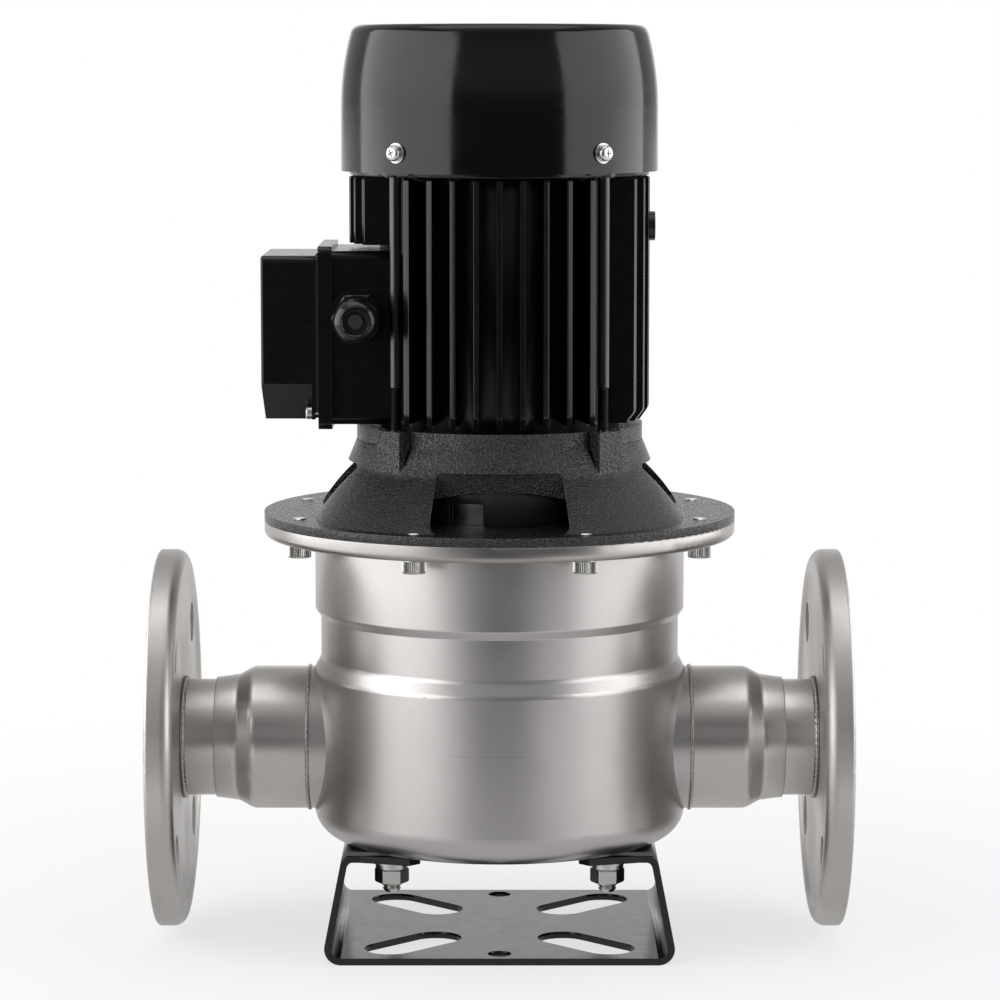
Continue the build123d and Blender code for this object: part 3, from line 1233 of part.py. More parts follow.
# Terminal box: base on the frame, gasket, lid
with BuildPart() as terminal_box_base:
    with BuildSketch(radial_plane(180, BOX_Z, BOX_BACK_X)):
        RectangleRounded(BOX_DEPTH, BOX_HEIGHT, BOX_CORNER)
    extrude(amount=BOX_FLANGE_X - BOX_BACK_X)
    with BuildSketch(radial_plane(180, BOX_Z, BOX_FLANGE_X)):
        RectangleRounded(BOX_FLANGE_DEPTH, BOX_FLANGE_HEIGHT, BOX_CORNER)
    extrude(amount=GASKET_X - BOX_FLANGE_X)
    with BuildSketch(Plane.XZ.offset(box_front)):
        with Locations((-GLAND_X, GLAND_Z)):
            Circle(GLAND_BOSS_RADIUS)
            Rectangle(GLAND_X - BOX_BACK_X, 2 * GLAND_BOSS_RADIUS, align=(Align.MIN, Align.CENTER))
    extrude(amount=GLAND_BOSS_REACH - box_front)
    with BuildSketch(radial_plane(180, hollow_z, block_back)):
        RectangleRounded(hollow_depth, hollow_height, BOX_CORNER)
    extrude(amount=GASKET_X - block_back, mode=Mode.SUBTRACT)
    with BuildSketch(Plane.XY.offset(BOX_Z - box_half)):
        Circle(FRAME_CORE_RADIUS + FIT)
    extrude(amount=BOX_HEIGHT, mode=Mode.SUBTRACT)
    with BuildSketch(radial_plane(180, BOX_Z)):
        Circle(WIRE_HOLE_RADIUS)
    extrude(amount=FRAME_RADIUS, mode=Mode.SUBTRACT)
    with BuildSketch(Plane.XZ.offset(box_front - BOX_WALL)):
        with Locations((-GLAND_X, GLAND_Z)):
            Circle(GLAND_THREAD_RADIUS + FIT)
    extrude(amount=GLAND_BOSS_REACH - box_front + BOX_WALL, mode=Mode.SUBTRACT)
    with BuildSketch(radial_plane(180, BOX_Z, GASKET_X)):
        with Locations((-LID_SCREW_Y, -LID_SCREW_DROP), (LID_SCREW_Y, -LID_SCREW_DROP)):
            Circle(LID_SCREW_DIAMETER / 2 + FIT)
    extrude(amount=-(LID_SCREW_LENGTH - LID_X + GASKET_X + 0.5), mode=Mode.SUBTRACT)
finish(terminal_box_base.part, "terminal_box_base")

with BuildPart() as terminal_box_gasket:
    with BuildSketch(radial_plane(180, BOX_Z, GASKET_X)):
        RectangleRounded(BOX_DEPTH - 2 * GASKET_INSET, LID_HEIGHT - 2 * GASKET_INSET, BOX_CORNER)
        with Locations((0, hollow_z - BOX_Z)):
            RectangleRounded(hollow_depth, hollow_height, BOX_CORNER, mode=Mode.SUBTRACT)
        with Locations((-LID_SCREW_Y, -LID_SCREW_DROP), (LID_SCREW_Y, -LID_SCREW_DROP)):
            Circle(LID_SCREW_DIAMETER / 2 + SLIP, mode=Mode.SUBTRACT)
    extrude(amount=LID_X - GASKET_X)
finish(terminal_box_gasket.part, "terminal_box_gasket")

with BuildPart() as terminal_box_lid:
    with BuildSketch(radial_plane(180, BOX_Z, LID_X)):
        RectangleRounded(BOX_DEPTH, LID_HEIGHT, BOX_CORNER)
    extrude(amount=LID_OUTER_X - LID_X)
    fillet(terminal_box_lid.faces().sort_by(Axis.X)[0].edges(), 1.2)
    # Taper of the lower part, on the outer face and at the front and the back
    with BuildSketch(Plane.XZ):
        Polygon(
            (-LID_OUTER_X, lid_low + LID_BOTTOM_BREAK), (-LID_OUTER_X + LID_OUTER_TAPER, lid_low),
            (-LID_OUTER_X, lid_low), align=None,
        )
    extrude(amount=BOX_DEPTH, both=True, mode=Mode.SUBTRACT)
    for side in (-1, 1):
        with BuildSketch(Plane.YZ.offset(-LID_OUTER_X)):
            Polygon(
                (side * box_front, lid_low + LID_BOTTOM_BREAK),
                (side * (box_front - LID_FRONT_TAPER), lid_low), (side * box_front, lid_low), align=None,
            )
        extrude(amount=LID_OUTER_X - LID_X - LID_BASE, mode=Mode.SUBTRACT)
    with BuildSketch(radial_plane(180, hollow_z, LID_X)):
        RectangleRounded(hollow_depth, hollow_height, BOX_CORNER)
    extrude(amount=LID_OUTER_X - LID_X - BOX_WALL, mode=Mode.SUBTRACT)
    with BuildSketch(radial_plane(180, BOX_Z, LID_X)):
        with Locations((-LID_SCREW_Y, -LID_SCREW_DROP), (LID_SCREW_Y, -LID_SCREW_DROP)):
            Circle(LID_SCREW_DIAMETER / 2 + SLIP)
    extrude(amount=LID_BASE, mode=Mode.SUBTRACT)
finish(terminal_box_lid.part, "terminal_box_lid")

with BuildPart() as lid_screws:
    with BuildSketch(radial_plane(180, BOX_Z, LID_X + LID_BASE)):
        with Locations((-LID_SCREW_Y, -LID_SCREW_DROP), (LID_SCREW_Y, -LID_SCREW_DROP)):
            Circle(LID_SCREW_HEAD_RADIUS)
    extrude(amount=LID_SCREW_HEAD_HEIGHT)
    fillet(lid_screws.faces().sort_by(Axis.X)[:2].edges(), 0.8)
    with BuildSketch(radial_plane(180, BOX_Z, LID_X + LID_BASE)):
        with Locations((-LID_SCREW_Y, -LID_SCREW_DROP), (LID_SCREW_Y, -LID_SCREW_DROP)):
            Circle(LID_SCREW_DIAMETER / 2)
    extrude(amount=-LID_SCREW_LENGTH)
finish(lid_screws.part, "lid_screws")

# Cable gland with its blanking plug
with BuildPart() as gland_body:
    with BuildSketch(Plane.XZ.offset(box_front - BOX_WALL)):
        with Locations((-GLAND_X, GLAND_Z)):
            Circle(GLAND_THREAD_RADIUS)
    extrude(amount=GLAND_BODY_REACH - box_front + BOX_WALL)
    with BuildSketch(Plane.XZ.offset(GLAND_BOSS_REACH)):
        with Locations((-GLAND_X, GLAND_Z)):
            RegularPolygon(GLAND_BASE_ACROSS_FLATS / 2, 6, major_radius=False)
    extrude(amount=GLAND_BASE_HEIGHT)
    with BuildSketch(Plane.XZ.offset(box_front - BOX_WALL)):
        with Locations((-GLAND_X, GLAND_Z)):
            Circle(GLAND_BORE_RADIUS)
    extrude(amount=GLAND_BODY_REACH - box_front + BOX_WALL, mode=Mode.SUBTRACT)
finish(gland_body.part, "gland_body")

with BuildPart() as gland_nut:
    with BuildSketch(Plane.XZ.offset(GLAND_NUT_LOW)):
        with Locations((-GLAND_X, GLAND_Z)):
            Circle(GLAND_NUT_RADIUS)
    extrude(amount=GLAND_NUT_REACH - GLAND_NUT_LOW)
    fillet(gland_nut.faces().sort_by(Axis.Y)[0].edges(), 3.2)
    with BuildSketch(Plane.XZ.offset(GLAND_NUT_LOW)):
        with Locations((-GLAND_X, GLAND_Z)):
            Circle(GLAND_THREAD_RADIUS + FIT)
    extrude(amount=GLAND_BODY_REACH + SLIP - GLAND_NUT_LOW, mode=Mode.SUBTRACT)
    with BuildSketch(Plane.XZ.offset(GLAND_NUT_LOW)):
        with Locations((-GLAND_X, GLAND_Z)):
            Circle(GLAND_BORE_RADIUS)
    extrude(amount=GLAND_NUT_REACH - GLAND_NUT_LOW, mode=Mode.SUBTRACT)
finish(gland_nut.part, "gland_nut")

plug_back = PLUG_REACH - PLUG_LENGTH
with BuildPart() as gland_seal:
    with BuildSketch(Plane.XZ.offset(plug_back)):
        with Locations((-GLAND_X, GLAND_Z)):
            Circle(GLAND_BORE_RADIUS - FIT)
            Circle(PLUG_RADIUS, mode=Mode.SUBTRACT)
    extrude(amount=GLAND_SEAL_REACH - plug_back)
finish(gland_seal.part, "gland_seal")

with BuildPart() as gland_plug:
    with BuildSketch(Plane.XZ.offset(plug_back)):
        with Locations((-GLAND_X, GLAND_Z)):
            Circle(PLUG_RADIUS - FIT)
    extrude(amount=PLUG_LENGTH)
    fillet(gland_plug.faces().sort_by(Axis.Y)[0].edges(), 0.8)
finish(gland_plug.part, "gland_plug")

# Terminal block with its six studs
with BuildPart() as terminal_block:
    with BuildSketch(radial_plane(180, hollow_z, block_back)):
        RectangleRounded(BLOCK_WIDTH, BLOCK_HEIGHT, 2)
        with GridLocations(BLOCK_WIDTH / 3, BLOCK_HEIGHT / 2, 3, 2):
            Circle(BLOCK_STUD_RADIUS + FIT, mode=Mode.SUBTRACT)
    extrude(amount=BLOCK_THICKNESS)
finish(terminal_block.part, "terminal_block")

with BuildPart() as terminal_studs:
    with BuildSketch(radial_plane(180, hollow_z, block_back)):
        with GridLocations(BLOCK_WIDTH / 3, BLOCK_HEIGHT / 2, 3, 2):
            Circle(BLOCK_STUD_RADIUS)
    extrude(amount=BLOCK_THICKNESS + BLOCK_STUD_PROUD)
finish(terminal_studs.part, "terminal_studs")
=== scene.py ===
"""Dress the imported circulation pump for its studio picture.

The pump stands on its foot with the pipes along X, the outlet at +X and the cable gland at -Y.
All sizes in this file are in metres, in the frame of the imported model.
"""

import logging
import math
from dataclasses import dataclass, field
from enum import Enum
from functools import cache
from typing import Callable

import bmesh
import bpy
from mathutils import Matrix, Vector


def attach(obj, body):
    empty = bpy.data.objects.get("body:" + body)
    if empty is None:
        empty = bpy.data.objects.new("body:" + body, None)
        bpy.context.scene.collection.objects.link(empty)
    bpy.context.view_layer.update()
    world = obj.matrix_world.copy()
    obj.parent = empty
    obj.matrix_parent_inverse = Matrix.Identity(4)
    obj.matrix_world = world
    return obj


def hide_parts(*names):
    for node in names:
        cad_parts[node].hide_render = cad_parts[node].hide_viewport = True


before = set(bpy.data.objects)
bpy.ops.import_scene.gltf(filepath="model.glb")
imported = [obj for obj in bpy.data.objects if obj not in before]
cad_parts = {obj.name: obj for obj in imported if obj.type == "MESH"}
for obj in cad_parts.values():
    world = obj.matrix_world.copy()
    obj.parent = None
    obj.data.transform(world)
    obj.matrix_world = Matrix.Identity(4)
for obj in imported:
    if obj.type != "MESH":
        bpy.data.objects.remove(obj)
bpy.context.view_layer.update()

log = logging.getLogger("circulation_pump")

Colour = tuple[float, float, float]
Profile = list[tuple[float, float]]
Socket = bpy.types.NodeSocket

PIPE_HEIGHT = 0.0866
PUMP_BODY = "pump"
WHITE = (1.0, 1.0, 1.0)
DUST_COLOUR = (0.30, 0.29, 0.28)
LINE_SHARE = 0.7
GRAIN_SHARE = 0.3
THREAD_DEPTH = 0.6
NODE_WIDTH, NODE_HEIGHT, NODES_IN_ROW = 180, 220, 12


class Lay(Enum):
    """The direction in which a surface was ground, turned or rolled."""

    AROUND_SHAFT = "around_shaft"
    AROUND_PIPE = "around_pipe"
    ALONG_X = "along_x"
    FACED_TO_PIPE = "faced_to_pipe"
    NONE = "none"


class ShaderBench:
    """A node tree under construction, with short calls to add and join nodes."""

    def __init__(self, tree: bpy.types.NodeTree) -> None:
        """Start on a node tree and empty it.

        Args:
            tree: the tree of a material, a group or a world.
        """
        self.tree = tree
        self.tree.nodes.clear()
        self.column = 0

    def add(self, kind: str, **settings: object) -> bpy.types.Node:
        """Add a node and set its properties and unlinked inputs.

        Args:
            kind: the node's type name, such as "ShaderNodeTexNoise".
            settings: properties by name, or inputs by name with spaces written as underscores.

        Returns:
            The new node.
        """
        node = self.tree.nodes.new(kind)
        row, place = divmod(self.column, NODES_IN_ROW)
        node.location = (NODE_WIDTH * place, -NODE_HEIGHT * row)
        self.column += 1
        for key, value in settings.items():
            title = key.replace("_", " ").lower()
            socket = next((s for s in node.inputs if s.name.lower() == title), None)
            if hasattr(node, key):
                setattr(node, key, value)
            elif socket is not None:
                self.join(value, socket)
            else:
                raise ValueError(f"{kind} has no setting {key}")
        return node

    def join(self, source: object, target: Socket) -> None:
        """Link an output to an input, or set the input to a value.

        Args:
            source: an output, a number or a colour.
            target: the input.
        """
        if isinstance(source, Socket):
            self.tree.links.new(source, target)
        elif isinstance(source, tuple):
            target.default_value = (*source[:3], 1.0)
        else:
            target.default_value = source

    def math(self, operation: str, *values: object) -> Socket:
        """Add a Math node, or a row of them where there are more than two values.

        Args:
            operation: the node's operation, such as "MULTIPLY".
            values: sockets or numbers.

        Returns:
            The last node's output.
        """
        node = self.add("ShaderNodeMath", operation=operation)
        for value, target in zip(values[:2], node.inputs):
            self.join(value, target)
        if len(values) > 2:
            return self.math(operation, node.outputs[0], *values[2:])
        return node.outputs[0]

    def spread(self, value: Socket, low: float, high: float, to_low: float = 0.0,
               to_high: float = 1.0) -> Socket:
        """Map a range of values to another, clamped at both ends.

        Args:
            value: the incoming value.
            low: the value that becomes to_low.
            high: the value that becomes to_high.
            to_low: the result's first end.
            to_high: the result's second end.

        Returns:
            The mapped value.
        """
        node = self.add("ShaderNodeMapRange", interpolation_type="SMOOTHSTEP")
        ends = {"From Min": low, "From Max": high, "To Min": to_low, "To Max": to_high, "Value": value}
        for title, end in ends.items():
            self.join(end, node.inputs[title])
        return node.outputs["Result"]

    def blend(self, mask: Socket, first: object, second: object) -> Socket:
        """Mix two colours.

        Args:
            mask: the share of the second colour, from 0 to 1.
            first: a colour or an output.
            second: a colour or an output.

        Returns:
            The mixed colour.
        """
        node = self.add("ShaderNodeMix", data_type="RGBA")
        factor, colours = node.inputs["Factor"], node.inputs[6:8]
        for source, target in zip((mask, first, second), (factor, *colours)):
            self.join(source, target)
        return node.outputs[2]

    def distance(self, first: Socket, second: Socket) -> Socket:
        """The distance from an axis, from the two coordinates across it."""
        squares = [self.math("MULTIPLY", side, side) for side in (first, second)]
        return self.math("SQRT", self.math("ADD", *squares))

    def coordinates(self, kind: str = "Object") -> Socket:
        """The shaded point, in the coordinates of that name."""
        return self.add("ShaderNodeTexCoord").outputs[kind]

    def parts(self, vector: Socket) -> bpy.types.NodeOutputs:
        """The X, Y and Z of a vector."""
        return self.add("ShaderNodeSeparateXYZ", Vector=vector).outputs

    def plain_sight(self) -> tuple[Socket, Socket]:
        """Masks of who looks at the surface.

        Returns:
            A mask that is 1 for the camera, also through glass, and one of what metal mirrors.
        """
        path = self.add("ShaderNodeLightPath").outputs
        seen = self.math("ADD", path["Is Camera Ray"], path["Is Transmission Ray"])
        return self.math("MINIMUM", seen, 1.0), path["Is Glossy Ray"]


class GroupBench(ShaderBench):
    """A shader group under construction, with its number inputs and outputs."""

    def __init__(self, name: str, inputs: dict[str, float], *outputs: str) -> None:
        """Make the group with its ends.

        Args:
            name: the group's name.
            inputs: each input's name and usual value.
            outputs: the outputs' names.
        """
        super().__init__(bpy.data.node_groups.new(name, "ShaderNodeTree"))
        for title, value in inputs.items():
            socket = self.tree.interface.new_socket(title, in_out="INPUT", socket_type="NodeSocketFloat")
            socket.default_value = value
        for title in outputs:
            self.tree.interface.new_socket(title, in_out="OUTPUT", socket_type="NodeSocketFloat")
        self.given = self.add("NodeGroupInput").outputs
        self.result = self.add("NodeGroupOutput").inputs
        self.place = self.coordinates()

    def noise(self, scale: object, **settings: object) -> Socket:
        """Noise in the object's coordinates.

        Args:
            scale: its scale, a number or a socket.
            settings: the noise node's further inputs.

        Returns:
            The noise's value.
        """
        return self.add("ShaderNodeTexNoise", Vector=self.place, Scale=scale, **settings).outputs[0]


class Effects:
    """Shader groups that more than one finish uses, each built once."""

    @staticmethod
    @cache
    def grain() -> bpy.types.NodeTree:
        """Fine unevenness of a surface, as a height from 0 to 1.

        Returns:
            The group "Fine Grain" with inputs Size and Roughness, and output Height.
        """
        group = GroupBench("Fine Grain", {"Size": 900.0, "Roughness": 0.55}, "Height")
        noise = group.noise(group.given["Size"], Detail=4.0, Roughness=group.given["Roughness"])
        group.join(noise, group.result["Height"])
        return group.tree

    @staticmethod
    @cache
    def brushing(lay: Lay) -> bpy.types.NodeTree:
        """Fine parallel lines left by grinding or turning.

        Args:
            lay: the direction of the lines.

        Returns:
            A group with inputs Lines and Waver, and outputs Height and Broad.
        """
        group = GroupBench(f"Brushing {lay.value}", {"Lines": 2600.0, "Waver": 12.0}, "Height", "Broad")
        x, y, z = group.parts(group.place)
        pipe_z = group.math("SUBTRACT", z, PIPE_HEIGHT)
        if lay is Lay.AROUND_SHAFT:
            across, along, third = z, group.math("ARCTAN2", y, x), group.distance(x, y)
        elif lay is Lay.AROUND_PIPE:
            across, along, third = x, group.math("ARCTAN2", y, pipe_z), group.distance(y, pipe_z)
        elif lay is Lay.FACED_TO_PIPE:
            across, along, third = group.distance(y, pipe_z), group.math("ARCTAN2", y, pipe_z), x
        else:
            across, along, third = y, x, z
        lines, waver = group.given["Lines"], group.given["Waver"]
        fine = group.add("ShaderNodeCombineXYZ")
        for part, scale, target in zip((across, along, third), (lines, waver, lines), fine.inputs):
            group.join(group.math("MULTIPLY", part, scale), target)
        drawn = group.add("ShaderNodeTexNoise", Vector=fine.outputs[0], Scale=1.0, Detail=3.0, Roughness=0.7)
        group.join(drawn.outputs[0], group.result["Height"])
        group.join(group.noise(26.0, Detail=2.0), group.result["Broad"])
        return group.tree

    @staticmethod
    @cache
    def edge_wear_and_highlight() -> bpy.types.NodeTree:
        """A mask of outer edges, broken up by noise, that the finishes paint lighter for rubbing and as a
        painted edge highlight.

        Returns:
            The group "Edge Wear" with inputs Width and Break Up, and output Mask.
        """
        group = GroupBench("Edge Wear And Highlight", {"Width": 0.0006, "Break Up": 300.0}, "Mask")
        shape = group.add("ShaderNodeNewGeometry").outputs
        rounded = group.add("ShaderNodeBevel", samples=3, Radius=group.given["Width"])
        match = group.add("ShaderNodeVectorMath", operation="DOT_PRODUCT")
        group.join(shape["True Normal"], match.inputs[0])
        group.join(rounded.outputs[0], match.inputs[1])
        turned = group.math("SUBTRACT", 1.0, match.outputs["Value"])
        patches = group.spread(group.noise(group.given["Break Up"], Detail=3.0), 0.35, 0.7, 0.3, 1.0)
        ragged = group.math("MULTIPLY", turned, patches)
        group.join(group.spread(ragged, 0.03, 0.25), group.result["Mask"])
        return group.tree

    @staticmethod
    @cache
    def dust() -> bpy.types.NodeTree:
        """A thin patchy film on faces that look upwards.

        Returns:
            The group "Dust Film" with input Amount, and output Mask.
        """
        group = GroupBench("Dust Film", {"Amount": 0.2}, "Mask")
        shape = group.add("ShaderNodeNewGeometry").outputs
        upward = group.parts(shape["Normal"])[2]
        patches = group.spread(group.noise(120.0, Detail=6.0, Roughness=0.7), 0.42, 0.72)
        film = group.math("MULTIPLY", group.spread(upward, 0.3, 1.0), patches, group.given["Amount"])
        group.join(film, group.result["Mask"])
        return group.tree

    @staticmethod
    @cache
    def cast_skin() -> bpy.types.NodeTree:
        """The rough skin of a sand casting under paint, with its high lumps marked for painted glints.

        Returns:
            The group "Cast Skin" with inputs Size and Pits, and outputs Height and Sparkle.
        """
        group = GroupBench("Cast Skin", {"Size": 620.0, "Pits": 0.5}, "Height", "Painted Glint")
        lumps = group.noise(group.given["Size"], Detail=5.0, Roughness=0.62)
        cells = group.add("ShaderNodeTexVoronoi", feature="F1", Vector=group.place,
                          Scale=group.math("MULTIPLY", group.given["Size"], 1.7))
        pits = group.math("MULTIPLY", group.spread(cells.outputs["Distance"], 0.0, 0.6), group.given["Pits"])
        group.join(group.math("ADD", lumps, pits), group.result["Height"])
        # The high lumps, which the cast finish paints lighter as painted glints.
        group.join(group.spread(lumps, 0.52, 0.7), group.result["Painted Glint"])
        return group.tree


class MaterialBench(ShaderBench):
    """A material under construction, round one Principled shader."""

    def __init__(self, name: str) -> None:
        """Make the material with its shader and output.

        Args:
            name: the material's name.
        """
        self.material = bpy.data.materials.new(name)
        self.material.use_nodes = True
        super().__init__(self.material.node_tree)
        self.shader = self.add("ShaderNodeBsdfPrincipled")
        self.add("ShaderNodeOutputMaterial", Surface=self.shader.outputs[0])

    def set(self, title: str, value: object) -> None:
        """Set one of the shader's inputs to a number or a colour, or link it."""
        self.join(value, self.shader.inputs[title])

    def effect(self, tree: bpy.types.NodeTree, **values: float) -> bpy.types.NodeOutputs:
        """Place an effect group in the material.

        Args:
            tree: the group.
            values: its inputs by name, with spaces written as underscores.

        Returns:
            The group's outputs.
        """
        node = self.add("ShaderNodeGroup")
        node.node_tree = tree
        for key, value in values.items():
            node.inputs[key.replace("_", " ")].default_value = value
        return node.outputs

    def raise_surface(self, height: Socket, distance: float, strength: float = 1.0) -> None:
        """Bend the shading normal by a height.

        Args:
            height: the height, from 0 to 1.
            distance: the real height of 1, in metres.
            strength: the bump's strength.
        """
        bump = self.add("ShaderNodeBump", Strength=strength, Distance=distance, Height=height)
        self.set("Normal", bump.outputs[0])


@dataclass(frozen=True)
class Finish:
    """What every finish has: its name, colour, gloss and how its surface is broken up."""

    name: str
    colour: Colour
    roughness: float = 0.4

    @cache
    def make(self) -> bpy.types.Material:
        """Build the finish's material once, and find it again later.

        Returns:
            The material.
        """
        bench = MaterialBench(self.name)
        bench.set("Base Color", self.colour)
        bench.set("Roughness", self.roughness)
        self.dress(bench)
        bench.material.diffuse_color = (*self.colour, 1.0)
        return bench.material

    def dress(self, bench: MaterialBench) -> None:
        """Add what makes this finish. Each kind of finish has its own.

        Args:
            bench: the material under construction.
        """
        raise NotImplementedError


@dataclass(frozen=True)
class SteelFinish(Finish):
    """Bare metal, turned, ground, rolled or pressed."""

    lay: Lay = Lay.NONE
    lines: float = 2600.0
    line_depth: float = 0.0
    roughness_spread: float = 0.08
    stain: float = 0.12

    def dress(self, bench: MaterialBench) -> None:
        """Metal with fine lines, cloudy gloss and faint stains.

        Args:
            bench: the material under construction.
        """
        bench.set("Metallic", 1.0)
        brush = bench.effect(Effects.brushing(self.lay), Lines=self.lines)
        grain = bench.effect(Effects.grain(), Size=420.0)
        mixed = bench.math("ADD", bench.math("MULTIPLY", brush["Height"], LINE_SHARE),
                           bench.math("MULTIPLY", grain["Height"], GRAIN_SHARE))
        cloud = bench.spread(brush["Broad"], 0.35, 0.68)
        darker = tuple(c * (1.0 - self.stain) for c in self.colour)
        tone = bench.math("MULTIPLY", bench.math("ADD", cloud, bench.spread(mixed, 0.3, 0.7)), 0.5)
        bench.set("Base Color", bench.blend(tone, self.colour, darker))
        low = max(0.02, self.roughness - self.roughness_spread / 2)
        gloss = bench.math("ADD", bench.math("MULTIPLY", mixed, 0.6), bench.math("MULTIPLY", cloud, 0.4))
        bench.set("Roughness", bench.spread(gloss, 0.2, 0.8, low, low + self.roughness_spread))
        if self.line_depth > 0:
            bench.raise_surface(mixed, self.line_depth, 0.5)


@dataclass(frozen=True)
class PaintFinish(Finish):
    """Sprayed paint with a light orange peel, dust, and lighter edges for rubbing and a painted edge
    highlight.
    """

    peel: float = 0.00004
    peel_size: float = 260.0
    # under is the lighter edge colour: paint rubbed through, and a painted edge highlight. The next field is
    # the width of those edges.
    under: Colour = (0.16, 0.16, 0.17)
    wear_and_highlight: float = 0.0006
    dust: float = 0.15
    index: float = 1.5

    def dress(self, bench: MaterialBench) -> None:
        """Paint that is peeled, dusty on top and lighter at its edges, for rubbing and a painted edge
        highlight.

        Args:
            bench: the material under construction.
        """
        bench.set("IOR", self.index)
        grain = bench.effect(Effects.grain(), Size=self.peel_size, Roughness=0.4)["Height"]
        # Lighter edges: rubbed paint and a painted edge highlight.
        wear_and_highlight = bench.effect(Effects.edge_wear_and_highlight(), Width=self.wear_and_highlight)["Mask"]
        dust = bench.effect(Effects.dust(), Amount=self.dust)["Mask"]
        worn_and_highlit = bench.blend(wear_and_highlight, self.colour, self.under)
        bench.set("Base Color", bench.blend(dust, worn_and_highlit, DUST_COLOUR))
        base = bench.spread(grain, 0.3, 0.7, self.roughness, self.roughness + 0.05)
        bench.set("Roughness", bench.math("ADD", base, bench.math("MULTIPLY", dust, 0.4)))
        bench.raise_surface(grain, self.peel, 0.6)


@dataclass(frozen=True)
class CastFinish(Finish):
    """Black paint over the rough skin of cast iron."""

    skin_size: float = 620.0
    skin_depth: float = 0.00035
    # light is the colour of painted glints on the skin's high lumps and of lighter edges, for rubbing and a
    # painted edge highlight.
    light: Colour = (0.10, 0.10, 0.105)

    def dress(self, bench: MaterialBench) -> None:
        """Coarse skin with painted glints on its high lumps, and lighter edges for rubbing and a painted edge
        highlight.

        Args:
            bench: the material under construction.
        """
        bench.set("IOR", 1.55)
        skin = bench.effect(Effects.cast_skin(), Size=self.skin_size)
        wear_and_highlight = bench.effect(Effects.edge_wear_and_highlight(), Width=0.0008)["Mask"]
        # Painted glints on the high lumps, and lighter edges for rubbing and a painted edge highlight.
        spots = bench.math("MAXIMUM", bench.math("MULTIPLY", skin["Painted Glint"], 0.5), wear_and_highlight)
        bench.set("Base Color", bench.blend(spots, self.colour, self.light))
        dull, bright = self.roughness + 0.12, self.roughness - 0.08
        bench.set("Roughness", bench.spread(skin["Height"], 0.4, 1.2, dull, bright))
        bench.raise_surface(skin["Height"], self.skin_depth, 0.8)


@dataclass(frozen=True)
class MouldedFinish(Finish):
    """Moulded plastic, rubber or ceramic with a fine grain."""

    grain_size: float = 1500.0
    grain_depth: float = 0.00003
    paler: float = 1.6

    def dress(self, bench: MaterialBench) -> None:
        """A fine grain with slightly paler high spots, and paler edges for rubbing and a painted edge
        highlight.

        Args:
            bench: the material under construction.
        """
        grain = bench.effect(Effects.grain(), Size=self.grain_size)["Height"]
        wear_and_highlight = bench.effect(Effects.edge_wear_and_highlight(), Width=0.0004, Break_Up=500.0)["Mask"]
        pale = tuple(min(1.0, c * self.paler) for c in self.colour)
        # Paler grain tops, and paler edges for rubbing and a painted edge highlight.
        mask = bench.math("MAXIMUM", bench.math("MULTIPLY", bench.spread(grain, 0.4, 0.75), 0.4), wear_and_highlight)
        bench.set("Base Color", bench.blend(mask, self.colour, pale))
        bright, dull = self.roughness - 0.05, self.roughness + 0.08
        bench.set("Roughness", bench.spread(grain, 0.3, 0.7, bright, dull))
        bench.raise_surface(grain, self.grain_depth)


@dataclass(frozen=True)
class StackFinish(Finish):
    """Thin sheets or wires stacked along the shaft."""

    pitch: float = 0.0005
    between: Colour = (0.05, 0.05, 0.05)
    metal: float = 0.9

    def dress(self, bench: MaterialBench) -> None:
        """Bands across the shaft's direction, uneven from sheet to sheet.

        Args:
            bench: the material under construction.
        """
        bench.set("Metallic", self.metal)
        wave = bench.add("ShaderNodeTexWave", wave_type="BANDS", bands_direction="Z", Distortion=0.4,
                         Vector=bench.coordinates(), Scale=0.314 / self.pitch).outputs["Fac"]
        grain = bench.effect(Effects.grain(), Size=300.0)["Height"]
        gap = bench.spread(wave, 0.0, 0.25, 1.0, 0.0)
        bench.set("Base Color", bench.blend(gap, self.colour, self.between))
        bright, dull = self.roughness - 0.08, self.roughness + 0.1
        bench.set("Roughness", bench.spread(grain, 0.3, 0.7, bright, dull))
        bench.raise_surface(wave, 0.0001)


PRESSED_STEEL = SteelFinish("satin_pressed_stainless", (0.575, 0.552, 0.545), 0.35, Lay.AROUND_SHAFT, 2400.0,
                            0.000004, 0.05, 0.07)
PIPE_STEEL = SteelFinish("drawn_pipe_stainless", (0.63, 0.60, 0.575), 0.33, Lay.AROUND_PIPE, 2200.0, 0.000008)
FACED_STEEL = SteelFinish("faced_flange_stainless", (0.60, 0.575, 0.555), 0.44, Lay.FACED_TO_PIPE, 1800.0,
                          0.00001, 0.12)
RING_STEEL = SteelFinish("turned_ring_stainless", (0.45, 0.43, 0.415), 0.33, Lay.AROUND_SHAFT, 3000.0,
                         0.000003)
INNER_STEEL = SteelFinish("bright_inner_stainless", (0.62, 0.61, 0.60), 0.2, Lay.AROUND_SHAFT, 1600.0)
# The foot strips are stainless, but their colour is a dark grey far below the other stainless finishes, as
# painted shade for the shadow under the casing.
SHADE_DARKENED_STRIP_STEEL = SteelFinish("shade_darkened_strip_stainless", (0.20, 0.195, 0.19), 0.4, Lay.ALONG_X, 1800.0, 0.000008)
WELD_STEEL = SteelFinish("weld_stainless", (0.52, 0.49, 0.46), 0.24, Lay.NONE, 900.0, 0.00003, 0.1, 0.3)
ZINC = SteelFinish("bright_zinc", (0.70, 0.69, 0.67), 0.28, Lay.NONE, 1500.0, 0.000006, 0.1)
TIE_ROD_STEEL = SteelFinish("dark_rod_steel", (0.085, 0.083, 0.088), 0.3, Lay.AROUND_SHAFT, 2000.0, 0.000005)
GROUND_STEEL = SteelFinish("ground_shaft_steel", (0.58, 0.58, 0.59), 0.24, Lay.AROUND_SHAFT, 4000.0)
